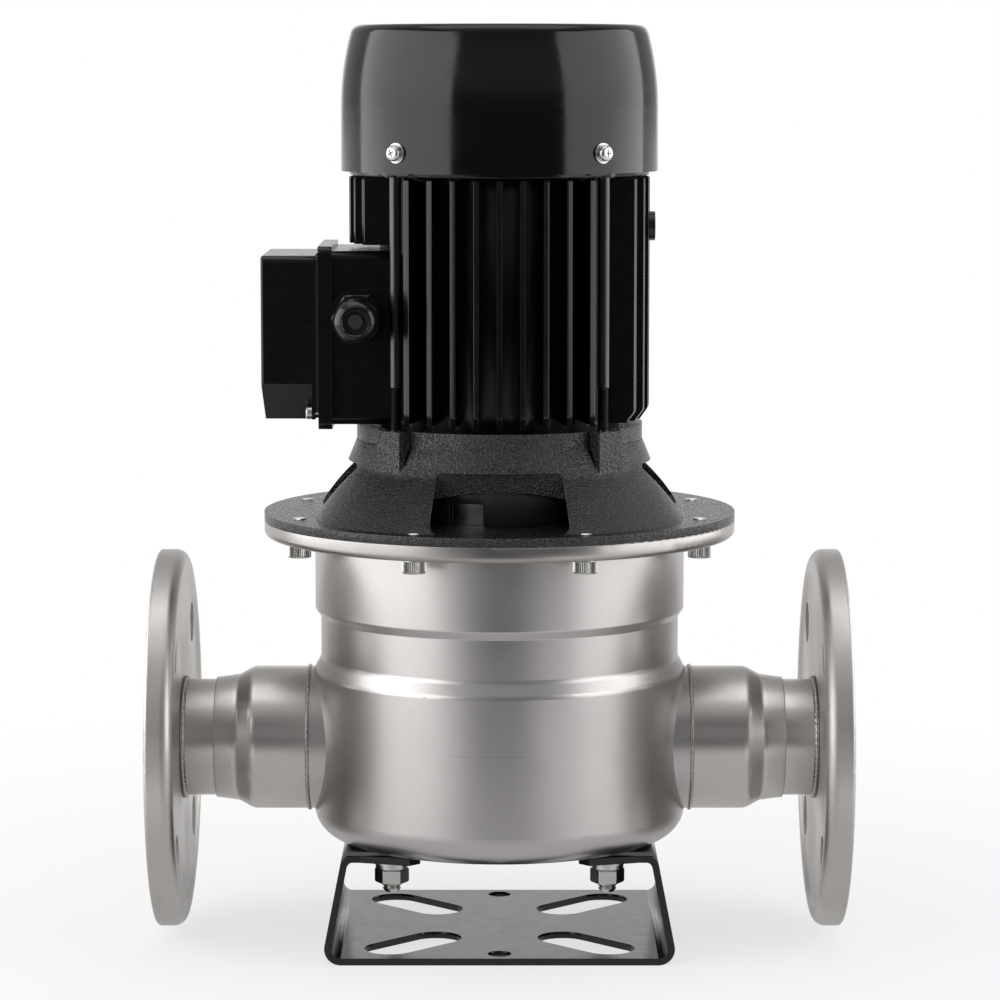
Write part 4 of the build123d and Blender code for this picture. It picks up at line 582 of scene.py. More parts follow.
BEARING_STEEL = SteelFinish("lapped_bearing_steel", (0.70, 0.70, 0.71), 0.12, Lay.AROUND_SHAFT, 4000.0)
SPRING_STEEL = SteelFinish("bare_spring_steel", (0.40, 0.40, 0.41), 0.3, Lay.NONE)
BRASS = SteelFinish("turned_brass", (0.66, 0.46, 0.18), 0.25, Lay.AROUND_SHAFT, 2600.0)
CAST_ALUMINIUM = SteelFinish("bare_cast_aluminium", (0.62, 0.63, 0.64), 0.42, Lay.NONE, 900.0, 0.00005)
# In each paint, the second colour is its lighter edge colour, for rubbed paint and a painted edge highlight.
MOTOR_PAINT = PaintFinish("gloss_black_motor_paint", (0.0035, 0.0033, 0.0042), 0.2, 0.00004, 240.0,
                          (0.025, 0.025, 0.027), 0.0005, 0.03, 1.44)
COVER_PAINT = PaintFinish("gloss_black_cover_paint", (0.0028, 0.0026, 0.0035), 0.11, 0.00001, 160.0,
                          (0.014, 0.014, 0.015), 0.0004, 0.02, 1.45)
FOOT_PAINT = PaintFinish("gloss_black_foot_paint", (0.005, 0.005, 0.006), 0.16, 0.00002, 200.0,
                         (0.04, 0.04, 0.04), 0.0005, 0.05, 1.47)
# The lantern's last colour is its painted glint and edge highlight colour.
LANTERN_SKIN = CastFinish("painted_cast_iron", (0.004, 0.0037, 0.0046), 0.26, 700.0, 0.0007,
                          (0.045, 0.043, 0.046))
GLAND_PLASTIC = MouldedFinish("gloss_gland_plastic", (0.005, 0.0048, 0.0058), 0.17, 600.0, 0.00001)
BLACK_PLASTIC = MouldedFinish("grained_black_plastic", (0.012, 0.012, 0.013), 0.34, 1200.0, 0.00003)
GREY_PLUG = MouldedFinish("grey_plug_plastic", (0.022, 0.022, 0.025), 0.4, 900.0, 0.00004)
BLACK_RUBBER = MouldedFinish("matt_black_rubber", (0.012, 0.012, 0.012), 0.6, 1800.0, 0.00003, 2.2)
BROWN_BLOCK = MouldedFinish("moulded_terminal_block", (0.10, 0.045, 0.025), 0.35, 900.0, 0.00002)
SEAT_CERAMIC = MouldedFinish("seal_ceramic", (0.75, 0.72, 0.66), 0.18, 900.0, 0.000005, 1.1)
SEAL_CARBON = MouldedFinish("lapped_seal_carbon", (0.03, 0.03, 0.03), 0.3, 900.0, 0.000005, 1.5)
LAMINATIONS = StackFinish("stacked_laminations", (0.34, 0.34, 0.36), 0.4, 0.0005)
COPPER_WIRE = StackFinish("varnished_copper_wire", (0.50, 0.17, 0.05), 0.35, 0.0009, (0.12, 0.03, 0.01), 0.7)


def turned(degrees: float, axis: str) -> Matrix:
    """The rotation about an axis of the model by an angle in degrees."""
    return Matrix.Rotation(math.radians(degrees), 4, axis)


@dataclass
class Workbench:
    """Modelling with operators: each call leaves one finished mesh in the model's frame."""

    made: list[str] = field(default_factory=list)

    @staticmethod
    def clear() -> None:
        """Leave edit mode and deselect everything."""
        if bpy.context.object is not None and bpy.context.object.mode != "OBJECT":
            bpy.ops.object.mode_set(mode="OBJECT")
        bpy.ops.object.select_all(action="DESELECT")

    def take(self, piece: bpy.types.Object) -> None:
        """Select one piece alone and make it the active one.

        Args:
            piece: the piece.
        """
        self.clear()
        piece.select_set(True)
        bpy.context.view_layer.objects.active = piece

    def edit(self, piece: bpy.types.Object) -> None:
        """Open a piece in edit mode for its vertices, with nothing selected.

        Args:
            piece: the piece.
        """
        self.take(piece)
        bpy.ops.object.mode_set(mode="EDIT")
        bpy.context.tool_settings.mesh_select_mode = (True, False, False)
        bpy.ops.mesh.select_all(action="DESELECT")

    @staticmethod
    def close() -> None:
        """Turn the faces of the piece in edit mode outwards and leave edit mode."""
        bpy.ops.mesh.select_all(action="SELECT")
        bpy.ops.mesh.normals_make_consistent(inside=False)
        bpy.ops.object.mode_set(mode="OBJECT")

    @staticmethod
    def pick(piece: bpy.types.Object, wanted: Callable[[Vector], bool]) -> None:
        """Select the vertices of the piece in edit mode whose place is wanted.

        Args:
            piece: the piece in edit mode.
            wanted: tells whether a place is selected.
        """
        shape = bmesh.from_edit_mesh(piece.data)
        for vertex in shape.verts:
            vertex.select_set(wanted(vertex.co))
        shape.select_flush_mode()
        bmesh.update_edit_mesh(piece.data)

    @staticmethod
    def narrow(factor: float) -> None:
        """Scale the selection across the Z axis and towards it."""
        bpy.ops.transform.resize(value=(factor, factor, 1), center_override=(0, 0, 0))

    @staticmethod
    def pull(x: float, y: float, z: float) -> None:
        """Extrude the selected edges by a distance."""
        bpy.ops.mesh.extrude_edges_move(TRANSFORM_OT_translate={"value": (x, y, z)})

    @staticmethod
    def only_border(piece: bpy.types.Object) -> None:
        """Select all edges and no face.

        Args:
            piece: the piece in edit mode, so far only a cap.
        """
        shape = bmesh.from_edit_mesh(piece.data)
        for face in shape.faces:
            face.select_set(False)
        for edge in shape.edges:
            edge.select_set(True)
        bpy.context.tool_settings.mesh_select_mode = (False, True, False)
        bmesh.update_edit_mesh(piece.data)

    def apply(self, piece: bpy.types.Object) -> None:
        """Put the object's place, turn and size into its mesh."""
        self.take(piece)
        bpy.ops.object.transform_apply(location=True, rotation=True, scale=True)

    def place(self, piece: bpy.types.Object, where: Matrix) -> None:
        """Move a shape to its place in the model's frame and keep its object at the origin."""
        piece.matrix_world = where
        self.apply(piece)

    @staticmethod
    def rename(piece: bpy.types.Object, name: str) -> None:
        """Name a piece and its mesh."""
        piece.name = name
        piece.data.name = name

    def lathe(self, name: str, profile: Profile, segments: int = 48) -> bpy.types.Object:
        """Turn a closed or hollow piece about the Z axis, ring by ring.

        Args:
            name: the piece's name.
            profile: (radius, height) from one end of the skin to the other. A first or last radius
                of 0 closes that end with a cap.
            segments: the number of sides.

        Returns:
            The piece, about the Z axis at the origin.
        """
        self.clear()
        rings = [p for p in profile if p[0] > 0]
        radius, height = rings[0]
        bpy.ops.mesh.primitive_circle_add(
            vertices=segments, radius=radius, fill_type="NOTHING", location=(0, 0, height)
        )
        piece = bpy.context.object
        self.rename(piece, name)
        bpy.ops.object.mode_set(mode="EDIT")
        if profile[0][0] == 0:
            bpy.ops.mesh.edge_face_add()
            self.only_border(piece)
        for next_radius, next_height in rings[1:]:
            self.pull(0, 0, next_height - height)
            self.narrow(next_radius / radius)
            radius, height = next_radius, next_height
        if profile[-1][0] == 0:
            bpy.ops.mesh.edge_face_add()
        self.close()
        self.apply(piece)
        return piece

    def ring(self, name: str, profile: Profile, segments: int = 48) -> bpy.types.Object:
        """Turn a ring with a hole through it about the Z axis.

        Args:
            name: the piece's name.
            profile: (radius, height) all round the ring's section, without the first point again.
            segments: the number of sides.

        Returns:
            The ring, about the Z axis at the origin.
        """
        piece = self.lathe(name, [*profile, profile[0]], segments)
        self.edit(piece)
        bpy.ops.mesh.select_all(action="SELECT")
        bpy.ops.mesh.remove_doubles(threshold=0.000001)
        self.close()
        return piece

    def prism(self, name: str, radius: float, low: float, high: float, chamfer: float) -> bpy.types.Object:
        """A hexagon head about the Z axis with chamfered corners.

        Args:
            name: the piece's name.
            radius: its radius to the corners.
            low: its lower face.
            high: its upper face.
            chamfer: the chamfer's width.

        Returns:
            The head.
        """
        self.clear()
        bpy.ops.mesh.primitive_cylinder_add(
            vertices=6, radius=radius, depth=high - low, location=(0, 0, (low + high) / 2)
        )
        piece = bpy.context.object
        piece.name = name
        self.apply(piece)
        rounding = round_edges(piece, chamfer, 50)
        bpy.ops.object.modifier_apply(modifier=rounding.name)
        return piece

    def cut(self, piece: bpy.types.Object, cutter: bpy.types.Object, operation: str = "DIFFERENCE") -> None:
        """Cut one shape with another and drop the cutter.

        Args:
            piece: the piece that is cut.
            cutter: the shape that cuts it.
            operation: DIFFERENCE takes the cutter's shape away, INTERSECT keeps what lies in it.
        """
        self.take(piece)
        taking = piece.modifiers.new("recess", "BOOLEAN")
        taking.operation = operation
        taking.solver = "EXACT"
        taking.use_self = True
        taking.object = cutter
        bpy.ops.object.modifier_apply(modifier=taking.name)
        bpy.data.objects.remove(cutter)

    def smooth(self, piece: bpy.types.Object, angle: float) -> None:
        """Shade a piece smooth, except over edges sharper than an angle in degrees."""
        self.take(piece)
        bpy.ops.object.shade_smooth_by_angle(angle=math.radians(angle))

    def repeat(self, piece: bpy.types.Object, places: list[Matrix], name: str) -> bpy.types.Object:
        """Copy a shape to its places and join the copies.

        Args:
            piece: the shape, modelled about the origin.
            places: the copies' places.
            name: the joined piece's name.

        Returns:
            The joined piece.
        """
        copies = []
        for number, where in enumerate(places):
            twin = piece.copy()
            twin.data = piece.data.copy()
            self.rename(twin, f"{name}_{number}")
            bpy.context.scene.collection.objects.link(twin)
            self.place(twin, where)
            copies.append(twin)
        bpy.data.objects.remove(piece)
        return self.merge(copies, name)

    def merge(self, pieces: list[bpy.types.Object], name: str) -> bpy.types.Object:
        """Join shapes that are in their places.

        Args:
            pieces: the shapes.
            name: the joined piece's name.

        Returns:
            The joined piece.
        """
        self.clear()
        for piece in pieces:
            piece.select_set(True)
        bpy.context.view_layer.objects.active = pieces[0]
        bpy.ops.object.join()
        self.rename(pieces[0], name)
        return pieces[0]

    def deliver(self, piece: bpy.types.Object, finish: Finish, slot: str, *nodes: str) -> None:
        """Give a piece its finish and hand it to the frame, on the pump's fixed body.

        Args:
            piece: the finished piece.
            finish: its finish.
            slot: the record's material slot; not used.
            nodes: the CAD nodes that it stands for.
        """
        piece.data.materials.clear()
        piece.data.materials.append(finish.make())
        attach(piece, PUMP_BODY)
        if nodes:
            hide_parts(*nodes)
        self.made.append(piece.name)
        log.info("%s: %d faces", piece.name, len(piece.data.polygons))


def round_edges(piece: bpy.types.Object, width: float, angle: float) -> bpy.types.Modifier:
    """Round a piece's sharp edges with a modifier.

    Args:
        piece: the piece.
        width: the rounding's width.
        angle: edges sharper than this, in degrees, are rounded.

    Returns:
        The modifier.
    """
    rounding = piece.modifiers.new("rounded_edges", "BEVEL")
    rounding.width = width
    rounding.segments = 2
    rounding.limit_method = "ANGLE"
    rounding.angle_limit = math.radians(angle)
    return rounding


def around(radius: float, degrees: float, height: float) -> Vector:
    """A point at a distance and a direction from the shaft, at a height."""
    turn = math.radians(degrees)
    return Vector((radius * math.cos(turn), radius * math.sin(turn), height))


def share_of_turn(across: float, along: float, steps: int) -> int:
    """The nearest of the equal steps round an axis to a point's direction."""
    return round(math.atan2(across, along) % (2 * math.pi) / (2 * math.pi) * steps)


@dataclass
class CarriedNodes:
    """The CAD solids that are shown as they are, each with its finish."""

    finishes: dict[Finish, tuple[str, ...]] = field(default_factory=lambda: {
        FOOT_PAINT: ("base_bracket",),
        SHADE_DARKENED_STRIP_STEEL: ("foot_strips",),
        ZINC: ("foot_studs", "foot_washers", "foot_spring_washers", "foot_nuts", "joint_screws",
               "impeller_nut", "fan_cover_screws", "lid_screws"),
        PRESSED_STEEL: ("pump_casing",),
        RING_STEEL: ("casing_flange", "seal_collar"),
        PIPE_STEEL: ("reducers", "pipe_sleeves", "neck_tubes"),
        FACED_STEEL: ("inlet_flange", "outlet_flange"),
        WELD_STEEL: ("weld_beads",),
        INNER_STEEL: ("suction_chamber", "diffuser", "impeller", "casing_cover"),
        BRASS: ("wear_ring", "terminal_studs", "lower_bearing_cage", "upper_bearing_cage"),
        GROUND_STEEL: ("impeller_key", "shaft"),
        BLACK_RUBBER: ("casing_o_ring", "shaft_slinger", "terminal_box_gasket", "gland_seal"),
        SEAT_CERAMIC: ("seal_seat",),
        SEAL_CARBON: ("seal_ring",),
        SPRING_STEEL: ("seal_spring", "wave_spring"),
        LANTERN_SKIN: ("lantern",),
        BLACK_PLASTIC: ("guard_drum", "fan"),
        MOTOR_PAINT: ("motor_frame", "end_shield", "terminal_box_base", "terminal_box_lid"),
        TIE_ROD_STEEL: ("through_bolts",),
        LAMINATIONS: ("stator_core", "rotor_core"),
        COPPER_WIRE: ("windings",),
        CAST_ALUMINIUM: ("rotor_end_rings",),
        COVER_PAINT: ("fan_cover",),
        GLAND_PLASTIC: ("gland_body", "gland_nut"),
        GREY_PLUG: ("gland_plug",),
        BROWN_BLOCK: ("terminal_block",),
        BEARING_STEEL: tuple(f"{end}_bearing_{part}" for end in ("lower", "upper")
                             for part in ("inner_ring", "outer_ring", "balls")),
    })
    edge_widths: dict[str, float] = field(default_factory=lambda: {
        "motor_frame": 0.0011, "terminal_box_lid": 0.0008, "terminal_box_base": 0.0007, "foot_nuts": 0.0003,
        "casing_flange": 0.0003, "base_bracket": 0.0005, "lantern": 0.0012, "gland_body": 0.0012,
        "guard_drum": 0.0003, "foot_strips": 0.0004, "end_shield": 0.0005,
    })
    edge_angle: float = 40.0
    merge_distance: float = 0.000002

    def dress(self) -> None:
        """Give each node its finish and round the edges of those seen from near."""
        finish_of = {name: finish for finish, names in self.finishes.items() for name in names}
        for name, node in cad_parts.items():
            node.data.materials.clear()
            node.data.materials.append(finish_of[name].make())
            if name in self.edge_widths:
                weld = node.modifiers.new("merged_triangles", "WELD")
                weld.merge_threshold = self.merge_distance
                rounding = round_edges(node, self.edge_widths[name], self.edge_angle)
                rounding.use_clamp_overlap = True
                rounding.harden_normals = True
            log.info("node %s: %s", name, finish_of[name].name)


@dataclass
class FootFixings:
    """The threaded studs under the casing."""

    spread_x: float = 0.0465
    spread_y: float = 0.035
    radius: float = 0.004
    pitch: float = 0.00125
    low: float = 0.0254
    high: float = 0.0425
    chamfer: float = 0.0004

    def build(self, bench: Workbench) -> None:
        """Turn one threaded stud and copy it to its four places.

        Args:
            bench: the workbench.
        """
        core = self.radius - THREAD_DEPTH * self.pitch
        profile = [(0.0, self.low), (core - self.chamfer, self.low), (core, self.low + 0.0005)]
        height = self.low + 2 * self.chamfer
        while height + self.pitch < self.high:
            profile += [(self.radius, height + 0.5 * self.pitch), (core, height + self.pitch)]
            height += self.pitch
        stud = bench.lathe("foot_stud", [*profile, (core, self.high), (0.0, self.high)], 32)
        bench.smooth(stud, 50)
        places = [Matrix.Translation((side * self.spread_x, depth * self.spread_y, 0))
                  for depth in (-1, 1) for side in (-1, 1)]
        studs = bench.repeat(stud, places, "threaded_foot_studs")
        bench.deliver(studs, ZINC, "turned_stainless", "foot_studs")


@dataclass
class JointScrews:
    """The knurled socket-head screws that hang under the casing's flange."""

    circle_radius: float = 0.0925
    count: int = 8
    head_radius: float = 0.005
    shank_radius: float = 0.003
    low: float = 0.1708
    seat: float = 0.1768
    top: float = 0.1878
    socket_radius: float = 0.00289
    socket_depth: float = 0.003
    knurl_depth: float = 0.0004
    sides: int = 72
    uneven_turn: float = 17.0
    near: float = 0.00001

    def build(self, bench: Workbench) -> None:
        """Turn one screw, press its knurl, sink its hexagon socket and copy it eight times.

        Args:
            bench: the workbench.
        """
        head, shank, low, seat, top = self.head_radius, self.shank_radius, self.low, self.seat, self.top
        screw = bench.lathe("joint_screw", [
            (head - 0.0009, low), (head - 0.0003, low + 0.0002), (head, low + 0.0007), (head, low + 0.0009),
            (head, seat - 0.0008), (head, seat - 0.0006), (head, seat), (shank, seat), (shank, top - 0.0004),
            (shank - 0.0004, top), (0.0, top),
        ], self.sides)
        bench.edit(screw)
        bench.pick(screw, lambda place: low + 0.0008 < place.z < seat - 0.0007
                   and share_of_turn(place.y, place.x, self.sides) % 2 == 0)
        bench.narrow(1 - self.knurl_depth / head)
        bpy.ops.mesh.select_all(action="DESELECT")
        bpy.ops.mesh.primitive_circle_add(
            vertices=6, radius=self.socket_radius, fill_type="NOTHING", location=(0, 0, low)
        )
        bpy.context.tool_settings.mesh_select_mode = (False, True, False)
        bench.pick(screw, lambda place: abs(place.z - low) < self.near)
        bpy.ops.mesh.bridge_edge_loops()
        bpy.ops.mesh.select_all(action="DESELECT")
        bench.pick(screw, lambda place: abs(place.z - low) < self.near
                   and place.xy.length < self.socket_radius + 5 * self.near)
        bench.pull(0, 0, self.socket_depth)
        bpy.ops.mesh.edge_face_add()
        bench.close()
        bench.smooth(screw, 28)
        places = []
        for number in range(self.count):
            degrees = 360 / self.count * (number + 0.5)
            spot = Matrix.Translation(around(self.circle_radius, degrees, 0))
            places.append(spot @ turned(degrees + self.uneven_turn * number, "Z"))
        screws = bench.repeat(screw, places, "knurled_joint_screws")
        bench.deliver(screws, ZINC, "zinc_steel", "joint_screws")


@dataclass
class TieRods:
    """The long screws beside the fins, threaded where they enter the lantern."""

    circle_radius: float = 0.062
    radius: float = 0.0025
    pitch: float = 0.0008
    low: float = 0.212
    thread_start: float = 0.2264
    thread_end: float = 0.2445
    head_low: float = 0.338
    head_high: float = 0.3415
    head_radius: float = 0.0042
    head_chamfer: float = 0.0003

    def build(self, bench: Workbench) -> None:
        """Turn one rod with its thread, set its hexagon head on it and copy it four times.

        Args:
            bench: the workbench.
        """
        root, plain = self.radius - THREAD_DEPTH * self.pitch, self.radius - 0.00005
        profile = [(0.0, self.low), (self.radius - 0.0005, self.low), (plain, self.low + 0.0005),
                   (plain, self.thread_start)]
        height = self.thread_start
        while height + self.pitch < self.thread_end:
            profile += [(root, height + 0.3 * self.pitch), (self.radius, height + 0.8 * self.pitch)]
            height += self.pitch
        profile += [(root, height + 0.4 * self.pitch), (self.radius, self.thread_end),
                    (self.radius, self.head_low), (0.0, self.head_low)]
        rod = bench.lathe("tie_rod", profile, 24)
        bench.smooth(rod, 50)
        head = bench.prism("tie_rod_head", self.head_radius, self.head_low, self.head_high, self.head_chamfer)
        rod = bench.merge([rod, head], "tie_rod")
        places = [Matrix.Translation(around(self.circle_radius, 45 + 90 * number, 0)) for number in range(4)]
        rods = bench.repeat(rod, places, "threaded_tie_rods")
        bench.deliver(rods, TIE_ROD_STEEL, "black_screw", "through_bolts")


@dataclass
class FanCoverScrews:
    """Cross-recessed pan screws with a flat and a split washer, round the fan cover's skirt."""

    surface_radius: float = 0.0683
    height: float = 0.3433
    angle_from_y: float = 39.0
    washer_bore: float = 0.00215
    washer_radius: float = 0.0044
    washer_thickness: float = 0.0008
    washer_round: float = 0.0002
    spring_radius: float = 0.0037
    spring_thickness: float = 0.0009
    spring_turn: float = 346.0
    head_radius: float = 0.0034
    head_height: float = 0.0022
    shank_radius: float = 0.00195
    shank_length: float = 0.0085
    blade: tuple[float, float, float] = (0.0037, 0.00075, 0.0026)
    blade_taper: float = 0.6
    first_turn: float = 23.0
    uneven_turn: float = 31.0

    def build(self, bench: Workbench) -> None:
        """Stack washer, split washer and screw once, and copy the stack four times.

        Args:
            bench: the workbench.
        """
        flat, bore, edge = self.washer_thickness, self.washer_bore, self.washer_round
        washer = bench.ring("flat_washer", [
            (bore, 0.0), (self.washer_radius, 0.0), (self.washer_radius, flat - edge),
            (self.washer_radius - edge, flat), (bore, flat),
        ])
        spring = self.split_washer(bench, flat)
        screw = self.pan_screw(bench, flat + self.spring_thickness)
        stack = bench.merge([washer, spring, screw], "cover_screw")
        bench.smooth(stack, 35)
        places = []
        for number, degrees in enumerate((90, 90, 270, 270)):
            degrees += self.angle_from_y * (-1 if number % 2 else 1)
            spot = Matrix.Translation(around(self.surface_radius, degrees, self.height))
            tightened = turned(self.first_turn + self.uneven_turn * number, "Z")
            places.append(spot @ turned(degrees, "Z") @ turned(90, "Y") @ tightened)
        stacks = bench.repeat(stack, places, "cross_recessed_cover_screws")
        bench.deliver(stacks, ZINC, "zinc_steel", "fan_cover_screws")

    def split_washer(self, bench: Workbench, seat: float) -> bpy.types.Object:
        """A spring washer with its slit.

        Args:
            bench: the workbench.
            seat: the height that it lies at.

        Returns:
            The washer.
        """
        bench.clear()
        width = self.spring_radius - self.washer_bore
        bpy.ops.mesh.primitive_plane_add(size=1, rotation=(math.radians(90), 0, 0))
        piece = bpy.context.object
        piece.scale = (width, self.spring_thickness, 1)
        piece.location = (self.washer_bore + width / 2, 0, seat + self.spring_thickness / 2)
        bench.apply(piece)
        bench.edit(piece)
        bpy.ops.mesh.select_all(action="SELECT")
        bpy.ops.mesh.spin(steps=36, angle=math.radians(self.spring_turn), center=(0, 0, 0), axis=(0, 0, 1))
        bench.close()
        return piece

    def pan_screw(self, bench: Workbench, seat: float) -> bpy.types.Object:
        """A pan-head screw with a cross recess.

        Args:
            bench: the workbench.
            seat: the height that its head sits at.

        Returns:
            The screw.
        """
        head, shank, top = self.head_radius, self.shank_radius, seat + self.head_height
        screw = bench.lathe("pan_screw", [
            (0.0, seat - self.shank_length), (shank, seat - self.shank_length), (shank, seat), (head, seat),
            (head, seat + 0.0008), (head - 0.00025, seat + 0.0014), (head - 0.0009, seat + 0.0019),
            (head - 0.0018, top - 0.00008), (0.0006, top), (0.0, top),
        ])
        blades = []
        for degrees in (0, 90):
            bench.clear()
            bpy.ops.mesh.primitive_cube_add(size=1, location=(0, 0, top))
            blade = bpy.context.object
            blade.scale = self.blade
            blade.rotation_euler = (0, 0, math.radians(degrees))
            bench.apply(blade)
            bench.edit(blade)
            bench.pick(blade, lambda place: place.z < top)
            bench.narrow(self.blade_taper)
            bpy.ops.object.mode_set(mode="OBJECT")
            blades.append(blade)
        bench.cut(screw, bench.merge(blades, "cross_cutter"))
        return screw


@dataclass
class PipeWelds:
    """The rippled weld beads at the collars and at the flange necks."""

    beads: tuple[tuple[float, float, float], ...] = ((0.0832, 0.0312, 0.0009), (0.1375, 0.0256, 0.0013))
    steps: int = 180
    ripple: float = 0.28

    def build(self, bench: Workbench) -> None:
        """Make each bead, from its place along the pipe, the pipe's radius and its own.

        Args:
            bench: the workbench.
        """
        beads = []
        for side in (-1, 1):
            for x, radius, thickness in self.beads:
                beads.append(self.bead(bench, side * x, radius, thickness))
        piece = bench.merge(beads, "rippled_welds")
        bench.smooth(piece, 60)
        bench.deliver(piece, WELD_STEEL, "pressed_stainless", "weld_beads")

    def bead(self, bench: Workbench, x: float, radius: float, thickness: float) -> bpy.types.Object:
        """A torus with ripples pressed in, round a pipe.

        Args:
            bench: the workbench.
            x: the bead's place along the pipe.
            radius: the pipe's radius.
            thickness: the bead's own radius.

        Returns:
            The bead, in its place.
        """
        bench.clear()
        bpy.ops.mesh.primitive_torus_add(
            major_radius=radius, minor_radius=thickness, major_segments=self.steps, minor_segments=10,
            location=(x, 0, PIPE_HEIGHT), rotation=(0, math.radians(90), 0),
        )
        piece = bpy.context.object
        bench.apply(piece)
        bench.edit(piece)
        bench.pick(piece, lambda place: share_of_turn(place.y, place.z - PIPE_HEIGHT, self.steps) % 3 == 0)
        bpy.ops.transform.shrink_fatten(value=-self.ripple * thickness)
        bpy.ops.object.mode_set(mode="OBJECT")
        return piece


@dataclass
class FlowArrow:
    """The faint raised arrow on the front of the casing, pointing to the outlet."""

    casing_radius: float = 0.0812
    shaft_start: float = -0.0235
    shaft_end: float = 0.0105
    tip: float = 0.0205
    middle: float = 0.0900
    half_shaft: float = 0.0026
    half_head: float = 0.0064
    raised: float = 0.00026
    sunk: float = 0.0004
    in_front: float = 0.004
    depth: float = 0.012
    heel: float = 0.00005
    blunt: float = 0.02
    near: float = 0.00001

    def build(self, bench: Workbench) -> None:
        """Extrude the arrow's outline towards the casing and keep what lies in a thin round shell.

        Args:
            bench: the workbench.
        """
        bench.clear()
        length = self.shaft_end - self.shaft_start
        bpy.ops.mesh.primitive_plane_add(
            size=1, rotation=(math.radians(90), 0, 0),
            location=(self.shaft_start + length / 2, -self.casing_radius - self.in_front, self.middle),
        )
        piece = bpy.context.object
        piece.scale = (length, 2 * self.half_shaft, 1)
        bench.apply(piece)
        bench.edit(piece)
        bench.pick(piece, lambda place: place.x > self.shaft_end - self.near)
        centre = (self.shaft_end, 0, self.middle)
        reaches = ((self.heel, self.half_head / self.half_shaft), (self.tip - self.shaft_end, self.blunt))
        for reach, widening in reaches:
            bench.pull(reach, 0, 0)
            bpy.ops.transform.resize(value=(1, 1, widening), center_override=centre)
        bpy.ops.mesh.select_all(action="SELECT")
        bpy.ops.mesh.extrude_region_move(TRANSFORM_OT_translate={"value": (0, self.depth, 0)})
        bench.close()
        low, high = self.middle - 2 * self.half_head, self.middle + 2 * self.half_head
        outer, inner = self.casing_radius + self.raised, self.casing_radius - self.sunk
        shell = bench.ring("arrow_shell", [(inner, low), (outer, low), (outer, high), (inner, high)], 360)
        bench.cut(piece, shell, "INTERSECT")
        bench.smooth(piece, 40)
        piece.name = "flow_arrow"
        bench.deliver(piece, PRESSED_STEEL, "pressed_stainless")


@dataclass
class CableGland:
    """The scalloped dome nut of the cable gland."""

    x: float = -0.060
    z: float = 0.2735
    low: float = 0.044
    high: float = 0.065
    radius: float = 0.010
    mouth: float = 0.0056
    bore: float = 0.0082
    scallops: int = 6
    scallop_width: float = 24.0
    scallop_factor: float = 0.994
    dome_drop: float = 0.0024
    sides: int = 96

    def build(self, bench: Workbench) -> None:
        """Turn the dome with its mouth, and press the finger scallops into its skirt.

        Args:
            bench: the workbench.
        """
        reach, radius, mouth, bore = self.high - self.low, self.radius, self.mouth, self.bore
        piece = bench.lathe("gland_dome_nut", [
            (bore, 0.0), (radius - 0.0004, 0.0), (radius, 0.0005), (radius, 0.55 * reach),
            (radius - 0.0002, 0.68 * reach), (radius - 0.0007, 0.79 * reach), (radius - 0.0015, 0.88 * reach),
            (radius - 0.0026, 0.94 * reach), (mouth + 0.0009, 0.965 * reach), (mouth + 0.0007, reach),
            (mouth + 0.0004, reach), (mouth, reach - 0.0004), (mouth, 0.4 * reach), (bore, 0.36 * reach),
            (bore, 0.0001),
        ], self.sides)
        bench.edit(piece)
        bpy.ops.mesh.select_all(action="SELECT")
        bpy.ops.mesh.remove_doubles(threshold=0.00012)
        bpy.ops.mesh.normals_make_consistent(inside=False)
        for share in (0.5, 0.25):
            bench.pick(piece, lambda place: self.in_scallop(place, share))
            bench.narrow(self.scallop_factor)
        bpy.ops.object.mode_set(mode="OBJECT")
        bench.smooth(piece, 32)
        bench.place(piece, Matrix.Translation((self.x, -self.low, self.z)) @ turned(90, "X"))
        bench.deliver(piece, GLAND_PLASTIC, "black_plastic", "gland_nut")

    def in_scallop(self, place: Vector, share: float) -> bool:
        """Whether a point lies in a scallop.

        Args:
            place: the point, on the upright dome.
            share: the share of the scallop's width that counts.

        Returns:
            True for a point of the dome's outside in that share.
        """
        pitch = 360 / self.scallops
        turn = math.degrees(math.atan2(place.y, place.x)) % pitch
        outside = place.xy.length > self.radius - self.dome_drop
        return outside and abs(turn - pitch / 2) < self.scallop_width * share


@dataclass(frozen=True)
class SoftBox:
    """A rectangular soft light, placed by its direction from the pump, right of the camera positive."""

    name: str
    azimuth: float
    distance: float
    height: float
    size: tuple[float, float]
    power: float

    def hang(self, target: Vector) -> None:
        """Hang the light in its place, facing a point of the pump.

        Args:
            target: the point.
        """
        data = bpy.data.lights.new(self.name, "AREA")
        data.shape = "RECTANGLE"
        data.size, data.size_y = self.size
        data.energy = self.power
        lamp = bpy.data.objects.new(self.name, data)
        lamp.location = around(self.distance, self.azimuth - 90, self.height)
        away = lamp.location - target
        lamp.rotation_euler = away.to_track_quat("Z", "Y").to_euler()
        bpy.context.scene.collection.objects.link(lamp)


